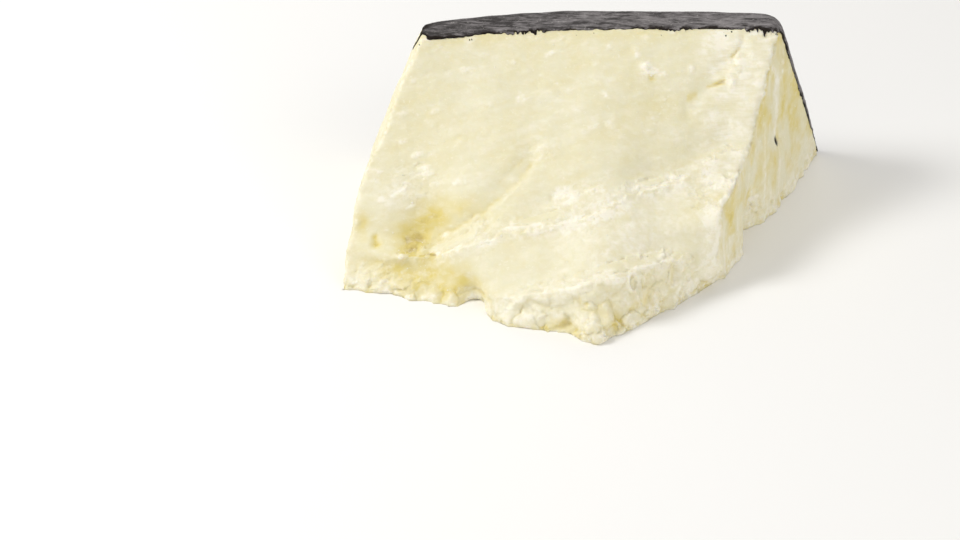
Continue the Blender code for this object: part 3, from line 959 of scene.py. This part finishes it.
# How it is cut out: tolerance, join of close points, and least number of faces in a patch.
CUT_TOLERANCE = 1e-7
RIND_WELD = 0.02 * MM
LEAST_ISLAND = 8


def rind_reach(points, sizes):
    """How deep the rind reaches below the skin, ragged along its broken edge."""
    reach = sizes.rind * (1 + lumpy(points, "rind edge") + lumpy(points, "fine rind edge"))
    tooth = np.clip(lumpy(points, "teeth") + lumpy(points, "fine teeth"), -0.3, 1)
    for start, end, depth in RAGGED:
        middle, half = (start + end) / 2, (end - start) / 2
        inside = ramp(half - np.abs(points[:, 0] - middle), *TEETH_FADE)
        reach += depth * inside * (0.20 + 1.2 * tooth)
    for middle, radius in CHIPS:
        away = np.linalg.norm(points - np.array(middle), axis=1)
        reach -= BITE * sizes.rind * hump(away / radius)
    for start, end, radius in SLIVERS:
        span = np.array(end) - np.array(start)
        t = np.clip((points - np.array(start)) @ span / span.dot(span), 0, 1)
        away = np.linalg.norm(points - np.array(start) - t[:, None] * span, axis=1)
        reach += SLIVER_REACH * hump(away / radius)
    return reach


def cut_at_zero(mesh, values):
    """The part of a mesh where the values are below zero, cut along the line between."""
    sheet = bmesh.new()
    sheet.from_mesh(mesh)
    place = sheet.verts.layers.float_vector.new("place")
    for vertex, value in zip(sheet.verts, values):
        vertex[place] = vertex.co
        vertex.co = (vertex.co.x, vertex.co.y, value)
    bmesh.ops.bisect_plane(
        sheet, geom=list(sheet.verts) + list(sheet.edges) + list(sheet.faces),
        dist=CUT_TOLERANCE, plane_co=(0, 0, 0), plane_no=(0, 0, 1), clear_outer=True,
    )
    for vertex in sheet.verts:
        vertex.co = vertex[place]
    sheet.verts.layers.float_vector.remove(place)
    bmesh.ops.remove_doubles(sheet, verts=sheet.verts, dist=RIND_WELD)
    drop_small_islands(sheet, LEAST_ISLAND)
    cut = bpy.data.meshes.new("cut")
    sheet.to_mesh(cut)
    sheet.free()
    return cut


def drop_small_islands(sheet, least):
    """Remove separate patches of fewer than a few faces, and loose vertices."""
    seen = set()
    small = []
    for face in sheet.faces:
        if face in seen:
            continue
        island, waiting = [], [face]
        seen.add(face)
        while waiting:
            current = waiting.pop()
            island.append(current)
            for edge in current.edges:
                for other in edge.link_faces:
                    if other not in seen:
                        seen.add(other)
                        waiting.append(other)
        if len(island) < least:
            small += island
    bmesh.ops.delete(sheet, geom=small, context="FACES")
    loose = [vertex for vertex in sheet.verts if not vertex.link_faces]
    bmesh.ops.delete(sheet, geom=loose, context="VERTS")


def rim_tree(sheet):
    """A search tree of the points on a sheet's open edges."""
    open_sheet = bmesh.new()
    open_sheet.from_mesh(sheet)
    places = [vertex.co.copy() for vertex in open_sheet.verts if vertex.is_boundary]
    open_sheet.free()
    tree = KDTree(len(places))
    for index, place in enumerate(places):
        tree.insert(place, index)
    tree.balance()
    return tree


def build_rind(paste, sizes):
    """The dark coat: the skin of the paste, cut out, roughened and given its thickness."""
    points = read_points(paste) - MARK
    below = read_attribute(paste, "skin_depth") - rind_reach(points, sizes)
    on_base = read_normals(paste)[:, 2] < -FACING
    sheet = cut_at_zero(paste, np.where(on_base, np.maximum(below, LEAST_COVER), below))
    rim = rim_tree(sheet)
    points = read_points(sheet) - MARK
    pits, _ = grains(points, "rind pits")
    waves = lumpy(points, "rind streaks") + lumpy(points, "rind waves")
    relief = waves - RIND_PIT_DEPTH * ramp(pits, 0.85, 1.0)
    relief = np.maximum(relief, LEAST_COVER - sizes.rind_lift)
    write_points(sheet, points + MARK + relief[:, None] * read_normals(sheet))
    lift = 2 * sizes.rind_lift / RIND_THICKNESS - 1
    mesh = modified(sheet, "SOLIDIFY", thickness=RIND_THICKNESS, offset=lift)
    points = read_points(mesh)
    points[:, 2] = np.maximum(points[:, 2], LOW.z)
    write_points(mesh, points)
    write_attribute(mesh, "rim", np.array([rim.find(point)[2] for point in points.tolist()]))
    mesh.name = "chunk_rind"
    mesh.shade_smooth()
    return mesh


# ---------------------------------------------------------------- node helpers


def fill_inputs(tree, made, inputs):
    """Give a node its inputs, by name or number, as values or as other nodes' sockets."""
    for name, value in inputs.items():
        if isinstance(value, bpy.types.NodeSocket):
            tree.links.new(value, made.inputs[name])
        else:
            made.inputs[name].default_value = value


def add_node(tree, kind, inputs=None, **settings):
    """Add a node with its settings and inputs."""
    made = tree.nodes.new(kind)
    for name, value in settings.items():
        setattr(made, name, value)
    fill_inputs(tree, made, inputs or {})
    return made


def calculate(tree, operation, first, second, clamp=False):
    """The output of a Math node."""
    kind = "ShaderNodeMath"
    made = add_node(tree, kind, {0: first, 1: second}, operation=operation, use_clamp=clamp)
    return made.outputs[0]


def add(tree, first, second, clamp=False):
    """The sum of two values."""
    return calculate(tree, "ADD", first, second, clamp)


def multiply(tree, first, second, clamp=False):
    """The product of two values."""
    return calculate(tree, "MULTIPLY", first, second, clamp)


def calculate_vector(tree, operation, first, second):
    """The output of a Vector Math node."""
    made = add_node(tree, "ShaderNodeVectorMath", {0: first, 1: second}, operation=operation)
    return made.outputs[0]


def blend_colours(tree, share, first, second):
    """A colour between two, each given as a socket or as a colour property."""
    ends = [end if isinstance(end, bpy.types.NodeSocket) else (*end, 1) for end in (first, second)]
    made = add_node(tree, "ShaderNodeMix", {0: share, 6: ends[0], 7: ends[1]}, data_type="RGBA")
    return made.outputs[2]


def spread(tree, value, low, high, to_low=0.0, to_high=1.0):
    """A value mapped from one range to another, and held at its ends."""
    inputs = {"Value": value, "From Min": low, "From Max": high, "To Min": to_low, "To Max": to_high}
    return add_node(tree, "ShaderNodeMapRange", inputs).outputs["Result"]


def speckle(tree, place, scale, detail, roughness):
    """Even noise from 0 to 1."""
    inputs = {"Vector": place, "Scale": scale, "Detail": detail, "Roughness": roughness}
    return add_node(tree, "ShaderNodeTexNoise", inputs).outputs["Fac"]


def pattern(tree, place, name):
    """A pattern of SPECKLES, from 0 to 1. It is long where its stretch is small."""
    scale, detail, roughness, stretch = SPECKLES[name]
    if stretch:
        mapping = add_node(tree, "ShaderNodeMapping", {"Vector": place, "Scale": stretch})
        place = mapping.outputs["Vector"]
    return speckle(tree, place, scale, detail, roughness)


def mask(tree, name):
    """A number that the mesh keeps for each vertex."""
    return add_node(tree, "ShaderNodeAttribute", attribute_name=name).outputs["Fac"]


def own_place(tree):
    """The object's own coordinates."""
    return add_node(tree, "ShaderNodeTexCoord").outputs["Object"]


def new_group(name, outputs):
    """A shader node group with a place and a scale, and float outputs."""
    group = bpy.data.node_groups.new(name, "ShaderNodeTree")
    group.interface.new_socket("Place", in_out="INPUT", socket_type="NodeSocketVector")
    group.interface.new_socket("Scale", in_out="INPUT", socket_type="NodeSocketFloat")
    for output in outputs:
        group.interface.new_socket(output, in_out="OUTPUT", socket_type="NodeSocketFloat")
    given = add_node(group, "NodeGroupInput")
    return group, given.outputs["Place"], given.outputs["Scale"]


def grain_group():
    """The fine grain that paste, crumbs and rind share: its height."""
    name = "Fine grain"
    if name in bpy.data.node_groups:
        return bpy.data.node_groups[name]
    group, place, scale = new_group(name, ["Height"])
    soft = speckle(group, place, scale, 3.0, 0.55)
    inputs = {"Vector": place, "Scale": multiply(group, scale, 0.35)}
    curd = add_node(group, "ShaderNodeTexVoronoi", inputs, feature="SMOOTH_F1")
    lumps = calculate(group, "SUBTRACT", 1.0, curd.outputs["Distance"])
    both = add(group, multiply(group, lumps, 0.5), soft)
    add_node(group, "NodeGroupOutput", {"Height": multiply(group, both, 0.6)})
    return group


def chip_group():
    """Flat chips of two sizes with crisp edges: their height, and a mask of the whitest."""
    name = "Chips"
    if name in bpy.data.node_groups:
        return bpy.data.node_groups[name]
    group, place, scale = new_group(name, ["Height", "White"])
    bend = add_node(group, "ShaderNodeTexNoise", {"Vector": place, "Scale": scale, "Detail": 2.0})
    bent = calculate_vector(group, "MULTIPLY", bend.outputs["Color"], (CHIP_WANDER,) * 3)
    place = calculate_vector(group, "ADD", place, bent)
    heights = []
    for factor in (1.0, 2.3):
        inputs = {"Vector": place, "Scale": multiply(group, scale, factor)}
        chip = add_node(group, "ShaderNodeTexVoronoi", inputs)
        tone = add_node(group, "ShaderNodeSeparateColor", {0: chip.outputs["Color"]}).outputs[0]
        heights.append(multiply(group, tone, 0.65 / factor))
    total = add(group, *heights)
    add_node(group, "NodeGroupOutput", {"Height": total, "White": spread(group, total, 0.52, 0.70)})
    return group


def place_group(tree, group, place, scale):
    """The outputs of a shared group that is placed in a material."""
    inputs = {"Place": place, "Scale": scale}
    return add_node(tree, "ShaderNodeGroup", inputs, node_tree=group).outputs


def bump(tree, height, distance, strength, normal=None):
    """A normal from a height."""
    inputs = {"Height": height, "Distance": distance, "Strength": strength}
    if normal:
        inputs["Normal"] = normal
    return add_node(tree, "ShaderNodeBump", inputs).outputs["Normal"]


def new_material(name):
    """A material, its node tree and its shader."""
    material = bpy.data.materials.new(name)
    material.use_nodes = True
    tree = material.node_tree
    return material, tree, tree.nodes["Principled BSDF"]


# ------------------------------------------------------------------- materials

# Noise patterns: how many to a metre, detail, roughness, and the stretch along x, y and z.
SPECKLES = {
    "broad clouds": (38, 3, 0.6, None),
    "small clouds": (210, 3, 0.6, None),
    "patches": (420, 3, 0.6, None),
    "flecks": (520, 3, 0.65, None),
    "pebble_highlights": (330, 3, 0.6, (0.55, 1.0, 1.0)),
    "saw lines": (900, 3, 0.6, (0.07, 0.07, 1.0)),
    "crumb tones": (300, 2, 0.5, None),
    "rind streaks": (650, 5, 0.66, (0.20, 1.0, 1.0)),
    "rind threads": (1800, 2, 0.5, (0.10, 1.0, 1.0)),
    "rind mottles": (330, 4, 0.7, (0.45, 1.0, 1.0)),
    "rind patches": (60, 4, 0.6, None),
    "rind dust": (800, 3, 0.7, None),
    "rim blotches": (140, 4, 0.65, (0.5, 1.0, 1.0)),
}

# Scales of the shared groups in the materials, and how far the edges of the chips wander.
CHIP_SCALE = 420
PASTE_GRAIN_SCALE = 1400
CRUMB_GRAIN_SCALE = 2500
RIND_GRAIN_SCALE = 1300
CHIP_WANDER = 0.0012

# The soft, slightly clear look of hard cheese.
WAXY = {
    "Specular IOR Level": 0.35,
    "Subsurface Weight": 0.20,
    "Subsurface Radius": (1.0, 0.8, 0.45),
    "Subsurface Scale": 0.0025,
}


def paste_yellow(tree, place):
    """How yellow the paste is: 1 in hollows and up to 2 deep in pores, partly tone and partly painted
    shade.
    """
    under_rind = spread(tree, mask(tree, "skin_depth"), 0.0012, 0.0060, 0.30, 0.0)
    clouds = pattern(tree, place, "small clouds")
    yellow = add(tree, mask(tree, "yellow"), under_rind)
    yellow = multiply(tree, yellow, spread(tree, clouds, 0.3, 0.7, 0.75, 1.15))
    return add(tree, yellow, spread(tree, clouds, 0.48, 0.30, 0.0, 0.12))


def paste_white(tree, place, yellow, patches, chips, saw):
    """How white the paste is, from 0 to 1: crushed ridges with painted highlights, painted pebble
    highlights, chips, flecks, scratches.
    """
    flecks = spread(tree, pattern(tree, place, "flecks"), 0.60, 0.70, 0.0, 0.45)
    flecks = multiply(tree, flecks, spread(tree, yellow, 0.2, 0.6, 1.0, 0.2))
    patchy = spread(tree, patches, 0.36, 0.60, 0.45, 1.25)
    # Painted highlight: small soft spots, as on the tops of tiny bumps.
    pebble_highlights = spread(tree, pattern(tree, place, "pebble_highlights"), 0.50, 0.68, 0.0, 0.24)
    white = multiply(tree, mask(tree, "white"), patchy, clamp=True)
    white = add(tree, white, pebble_highlights, clamp=True)
    white = add(tree, white, multiply(tree, chips, 0.35), clamp=True)
    white = calculate(tree, "MAXIMUM", white, flecks)
    return add(tree, white, multiply(tree, saw, 0.28), clamp=True)


def paste_material(colours):
    """Ivory paste: clearer and yellower in hollows, partly as painted shade, and whiter where it is
    crushed, partly as painted highlights.
    """
    material, tree, shader = new_material("broken_paste")
    place = own_place(tree)
    patches = pattern(tree, place, "patches")
    broken = mask(tree, "broken")
    chips = place_group(tree, chip_group(), place, CHIP_SCALE)
    saw_lines = spread(tree, pattern(tree, place, "saw lines"), 0.42, 0.62)
    saw = multiply(tree, saw_lines, mask(tree, "saw"))
    yellow = paste_yellow(tree, place)
    white = paste_white(tree, place, yellow, patches, multiply(tree, chips["White"], broken), saw)
    speck = spread(tree, mask(tree, "speck"), 0.15, 0.55)

    clouds = spread(tree, pattern(tree, place, "broad clouds"), 0.42, 0.75, 0, 0.22)
    colour = blend_colours(tree, clouds, colours.paste, colours.hollow)
    # Painted shade, partly the paste's tone: yellow toward the hollow colour, then toward the dark ochre
    # of pores.
    colour = blend_colours(tree, spread(tree, yellow, 0.0, 1.0), colour, colours.hollow)
    colour = blend_colours(tree, spread(tree, yellow, 1.0, 2.0), colour, colours.pore)
    # Crushed white, partly painted highlights.
    colour = blend_colours(tree, white, colour, colours.bloom_and_highlight)
    colour = blend_colours(tree, speck, colour, colours.speck)

    flaky = spread(tree, broken, 0.1, 0.9, 0.12, 1.0)
    normal = bump(tree, multiply(tree, chips["Height"], flaky), 0.0004, 0.5)
    normal = bump(tree, saw, 0.00015, 0.4, normal)
    grain = place_group(tree, grain_group(), place, PASTE_GRAIN_SCALE)
    fill_inputs(tree, shader, {
        "Base Color": colour,
        "Roughness": spread(tree, patches, 0.3, 0.7, 0.50, 0.68),
        "Normal": bump(tree, grain["Height"], 0.00022, 0.6, normal),
        **WAXY,
    })
    return material


def crumb_material(colours):
    """Crushed paste of loose crumbs and granules."""
    material, tree, shader = new_material("crushed_paste")
    place = own_place(tree)
    tone = pattern(tree, place, "crumb tones")
    share = spread(tree, tone, 0.35, 0.65, 0.15, 0.8)
    grain = place_group(tree, grain_group(), place, CRUMB_GRAIN_SCALE)
    fill_inputs(tree, shader, {
        "Base Color": blend_colours(tree, share, colours.paste, colours.bloom_and_highlight),
        "Roughness": spread(tree, tone, 0.3, 0.7, 0.55, 0.7),
        "Normal": bump(tree, grain["Height"], 0.00015, 0.5),
        **WAXY,
    })
    return material


def rim_share(tree, place, along):
    """1 on the broken edge of the rind and 0 inside it. The edge is widest on the left."""
    width = spread(tree, pattern(tree, place, "rim blotches"), 0.46, 0.68, 0.0003, 0.0040)
    width = add(tree, width, spread(tree, along, -0.085, -0.045, 0.0012, 0.0))
    inwards = calculate(tree, "DIVIDE", mask(tree, "rim"), width)
    return spread(tree, inwards, 0.5, 1.4, 0.95, 0.0)


def rind_material(colours):
    """A dark, dry coat with grey streaks along the rim, partly wear and partly a painted sheen lighter
    to the right, and pale dust.
    """
    material, tree, shader = new_material("dark_rind")
    place = own_place(tree)
    along = add_node(tree, "ShaderNodeSeparateXYZ", {0: place}).outputs["X"]
    streaks = pattern(tree, place, "rind streaks")
    mottles = pattern(tree, place, "rind mottles")
    wear_and_sheen = add(tree, streaks, multiply(tree, pattern(tree, place, "rind patches"), 0.25))
    wear_and_sheen = add(tree, wear_and_sheen, multiply(tree, pattern(tree, place, "rind threads"), 0.20))
    wear_and_sheen = add(tree, wear_and_sheen, multiply(tree, mottles, 0.60))
    # Painted sheen: the coat grows lighter grey towards the right.
    wear_and_sheen = add(tree, wear_and_sheen, spread(tree, along, -0.07, 0.05, -0.08, 0.04))
    dust = spread(tree, pattern(tree, place, "rind dust"), 0.62, 0.72, 0, 0.8)
    edge = rim_share(tree, place, along)
    colour = blend_colours(tree, spread(tree, wear_and_sheen, 0.89, 1.22), colours.rind_dark, colours.rind_wear_and_sheen)
    colour = blend_colours(tree, dust, colour, colours.dust)
    normal = bump(tree, add(tree, streaks, mottles), 0.0006, 0.8)
    grain = place_group(tree, grain_group(), place, RIND_GRAIN_SCALE)
    fill_inputs(tree, shader, {
        "Base Color": blend_colours(tree, edge, colour, colours.rind_edge),
        "Specular IOR Level": spread(tree, edge, 0.0, 1.0, 0.3, 0.08),
        "Roughness": spread(tree, streaks, 0.3, 0.7, 0.50, 0.8),
        "Normal": bump(tree, grain["Height"], 0.0002, 0.8, normal),
    })
    return material


def floor_material(colours):
    """A plain pale floor."""
    material, tree, shader = new_material("pale_floor")
    fill_inputs(tree, shader, {
        "Base Color": (*colours.floor, 1), "Roughness": 0.9, "Specular IOR Level": 0.1,
    })
    return material


# -------------------------------------------------------------- scattered bits

# The named inputs of the scatter tree.
SCATTER_INPUTS = {
    "Surface": "Geometry", "Mask": "String", "Density": "Float", "Smallest": "Float",
    "Largest": "Float", "Flatness": "Float", "Raggedness": "Float", "Seed": "Int",
    "Material": "Material",
}

# The shape of a bit: tilt to each side, width for its length, the power that makes most bits
# small, and the scale of its raggedness.
BIT_TILT = 0.5
BIT_WIDTH = 0.7
SMALL_POWER = 2.5
RAGGED_SCALE = 1500.0


def scatter_tree():
    """Geometry nodes that strew small angular bits over a surface, where a mask allows."""
    name = "Scattered bits"
    if name in bpy.data.node_groups:
        return bpy.data.node_groups[name]
    tree = bpy.data.node_groups.new(name, "GeometryNodeTree")
    for label, kind in SCATTER_INPUTS.items():
        tree.interface.new_socket(label, in_out="INPUT", socket_type="NodeSocket" + kind)
    tree.interface.new_socket("Bits", in_out="OUTPUT", socket_type="NodeSocketGeometry")
    given = add_node(tree, "NodeGroupInput").outputs
    seed = given["Seed"]
    named = add_node(
        tree, "GeometryNodeInputNamedAttribute", {"Name": given["Mask"]}, data_type="FLOAT",
    )
    density = multiply(tree, named.outputs["Attribute"], given["Density"])
    points = add_node(tree, "GeometryNodeDistributePointsOnFaces", {
        "Mesh": given["Surface"], "Density": density, "Seed": seed,
    }).outputs
    turn = add_node(tree, "FunctionNodeRandomValue", {
        0: (-BIT_TILT, -BIT_TILT, -math.pi), 1: (BIT_TILT, BIT_TILT, math.pi), "Seed": seed,
    }, data_type="FLOAT_VECTOR")
    turned = add_node(tree, "FunctionNodeRotateRotation", {
        "Rotation": points["Rotation"], "Rotate By": turn.outputs["Value"],
    }, rotation_space="LOCAL")
    draw = add_node(
        tree, "FunctionNodeRandomValue", {2: 0.0, 3: 1.0, "Seed": seed}, data_type="FLOAT",
    )
    small_mostly = calculate(tree, "POWER", draw.outputs[1], SMALL_POWER)
    radius = spread(tree, small_mostly, 0.0, 1.0, given["Smallest"], given["Largest"])
    size = add_node(tree, "ShaderNodeCombineXYZ", {
        0: radius, 1: multiply(tree, radius, BIT_WIDTH),
        2: multiply(tree, radius, given["Flatness"]),
    })
    bit = add_node(tree, "GeometryNodeMeshIcoSphere", {"Radius": 1.0, "Subdivisions": 1})
    placed = add_node(tree, "GeometryNodeInstanceOnPoints", {
        "Points": points["Points"], "Instance": bit.outputs["Mesh"],
        "Rotation": turned.outputs["Rotation"], "Scale": size.outputs[0],
    })
    real = add_node(tree, "GeometryNodeRealizeInstances", {0: placed.outputs[0]})
    uneven = add_node(tree, "ShaderNodeTexNoise", {"Scale": RAGGED_SCALE, "Detail": 1.0})
    centred = calculate_vector(tree, "SUBTRACT", uneven.outputs["Color"], (0.5, 0.5, 0.5))
    ragged = add_node(tree, "ShaderNodeVectorMath", {
        0: centred, "Scale": given["Raggedness"],
    }, operation="SCALE")
    moved = add_node(tree, "GeometryNodeSetPosition", {
        "Geometry": real.outputs[0], "Offset": ragged.outputs[0],
    })
    coloured = add_node(tree, "GeometryNodeSetMaterial", {
        "Geometry": moved.outputs[0], "Material": given["Material"],
    })
    add_node(tree, "NodeGroupOutput", {"Bits": coloured.outputs[0]})
    return tree


def scatter(name, surface, values):
    """A mesh of bits on a surface, made with the scatter tree and its named inputs."""
    tree = scatter_tree()
    inputs = {
        item.identifier: values[item.name]
        for item in tree.interface.items_tree if item.name in values
    }
    mesh = modified(surface.copy(), "NODES", inputs, node_group=tree)
    mesh.name = name
    return mesh


# ----------------------------------------------------------------------- stage

# Soft area lights: place, size and power.
LIGHTS = {
    "window": ((-0.95, -0.10, 0.95), 0.45, 10.4),
    "fill": ((0.90, -0.98, 0.68), 1.0, 5.5),
    "back": ((0.30, 0.95, 0.95), 0.8, 2.4),
}
SKY_COLOUR = (1.0, 0.99, 0.97, 1)
SKY_STRENGTH = 0.49
FLOOR_REACH = 4

# The camera, which looks at the mark.
CAMERA_DISTANCE = 1.0
CAMERA_ELEVATION = math.radians(34)
LENS = 75
SENSOR = 36


def lay_floor(material):
    """A large flat floor at the height that the chunk stands on."""
    plane = bmesh.new()
    bmesh.ops.create_grid(plane, x_segments=1, y_segments=1, size=FLOOR_REACH)
    mesh = bpy.data.meshes.new("floor")
    plane.to_mesh(mesh)
    plane.free()
    floor = new_piece("floor", mesh, material)
    floor.location = (0, 0, LOW.z)


def set_lights(scene):
    """Three soft area lights and a pale sky."""
    for name, (place, size, power) in LIGHTS.items():
        data = bpy.data.lights.new(name, "AREA")
        data.energy = power
        data.size = size
        light = bpy.data.objects.new(name, data)
        light.location = place
        light.rotation_euler = (-Vector(place)).to_track_quat("-Z", "Y").to_euler()
        scene.collection.objects.link(light)
    world = bpy.data.worlds.new("studio")
    world.use_nodes = True
    background = world.node_tree.nodes["Background"]
    fill_inputs(world.node_tree, background, {"Color": SKY_COLOUR, "Strength": SKY_STRENGTH})
    scene.world = world
    scene.view_settings.view_transform = "Standard"


def set_camera(scene):
    """A camera that looks at the mark from the front and above."""
    data = bpy.data.cameras.new("camera")
    data.lens = LENS
    data.sensor_width = SENSOR
    camera = bpy.data.objects.new("camera", data)
    away = Vector((0, -math.cos(CAMERA_ELEVATION), math.sin(CAMERA_ELEVATION)))
    camera.location = Vector(MARK) + CAMERA_DISTANCE * away
    camera.rotation_euler = (math.pi / 2 - CAMERA_ELEVATION, 0, 0)
    scene.collection.objects.link(camera)
    scene.camera = camera


# ------------------------------------------------------------------- operators


class CheesePaste(bpy.types.Operator):
    """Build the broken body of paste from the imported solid"""

    bl_idname = "cheese.paste"
    bl_label = "Paste"

    def execute(self, context):
        scene = context.scene
        mesh = build_paste(scene.cheese_sizes)
        piece = new_piece("chunk_paste", mesh, paste_material(scene.cheese_colours))
        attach(piece, "root")
        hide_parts(NODE)
        return {"FINISHED"}


class CheeseRind(bpy.types.Operator):
    """Build the dark rind over the skin of the wheel"""

    bl_idname = "cheese.rind"
    bl_label = "Rind"

    def execute(self, context):
        scene = context.scene
        mesh = build_rind(bpy.data.objects["chunk_paste"].data, scene.cheese_sizes)
        piece = new_piece("chunk_rind", mesh, rind_material(scene.cheese_colours))
        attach(piece, "root")
        return {"FINISHED"}


class CheeseCrumbs(bpy.types.Operator):
    """Strew crumbs on the rough places and white granules on the breaks"""

    bl_idname = "cheese.crumbs"
    bl_label = "Crumbs and granules"

    def execute(self, context):
        scene = context.scene
        sizes = scene.cheese_sizes
        paste = bpy.data.objects["chunk_paste"].data
        shared = {"Material": crumb_material(scene.cheese_colours), "Seed": sizes.seed}
        crumbs = scatter("chunk_crumbs", paste, {
            "Mask": "crumbs", "Density": sizes.crumb_density, "Smallest": 0.3 * sizes.crumb,
            "Largest": sizes.crumb, "Flatness": 0.55, "Raggedness": 0.7 * sizes.crumb, **shared,
        })
        granules = scatter("chunk_granules", paste, {
            "Mask": "granules", "Density": sizes.granule_density, "Smallest": 0.25 * sizes.crumb,
            "Largest": 0.8 * sizes.crumb, "Flatness": 0.35, "Raggedness": 0.4 * sizes.crumb, **shared,
        })
        for mesh in (crumbs, granules):
            piece = new_piece(mesh.name, mesh)
            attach(piece, "root")
        return {"FINISHED"}


class CheeseScraps(bpy.types.Operator):
    """Strew small scraps of rind below the coat's broken edge"""

    bl_idname = "cheese.scraps"
    bl_label = "Scraps of rind"

    def execute(self, context):
        sizes = context.scene.cheese_sizes
        mesh = scatter("rind_scraps", bpy.data.objects["chunk_paste"].data, {
            "Mask": "scraps", "Density": sizes.scrap_density, "Smallest": 0.25 * MM,
            "Largest": 0.9 * MM, "Flatness": 0.3, "Raggedness": 0.5 * MM, "Seed": sizes.seed + 1,
            "Material": bpy.data.materials["dark_rind"],
        })
        piece = new_piece("rind_scraps", mesh)
        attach(piece, "root")
        return {"FINISHED"}


class CheeseStage(bpy.types.Operator):
    """Lay the pale floor and set the soft lights and the camera"""

    bl_idname = "cheese.stage"
    bl_label = "Stage"

    def execute(self, context):
        scene = context.scene
        lay_floor(floor_material(scene.cheese_colours))
        set_lights(scene)
        set_camera(scene)
        return {"FINISHED"}


class CheesePanel(bpy.types.Panel):
    """Lists the pieces of the cheese and their sizes and colours"""

    bl_idname = "VIEW3D_PT_cheese"
    bl_label = "Pecorino chunk"
    bl_space_type = "VIEW_3D"
    bl_region_type = "UI"
    bl_category = "Cheese"

    def draw(self, context):
        for group in (context.scene.cheese_sizes, context.scene.cheese_colours):
            column = self.layout.column(align=True)
            for name in group.__annotations__:
                column.prop(group, name)
        for operator in OPERATORS:
            self.layout.operator(operator.bl_idname)


GROUPS = (CheeseSizes, CheeseColours)
OPERATORS = (CheesePaste, CheeseRind, CheeseCrumbs, CheeseScraps, CheeseStage)
CLASSES = (*GROUPS, *OPERATORS, CheesePanel)


def register():
    """Register the classes, and give the scene its sizes and colours."""
    for item in CLASSES:
        bpy.utils.register_class(item)
    bpy.types.Scene.cheese_sizes = PointerProperty(type=CheeseSizes)
    bpy.types.Scene.cheese_colours = PointerProperty(type=CheeseColours)


def unregister():
    """Take away what register added."""
    del bpy.types.Scene.cheese_colours
    del bpy.types.Scene.cheese_sizes
    for item in reversed(CLASSES):
        bpy.utils.unregister_class(item)


def main():
    """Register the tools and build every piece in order."""
    register()
    bpy.ops.cheese.paste()
    bpy.ops.cheese.rind()
    bpy.ops.cheese.crumbs()
    bpy.ops.cheese.scraps()
    bpy.ops.cheese.stage()


if __name__ == "__main__":
    main()
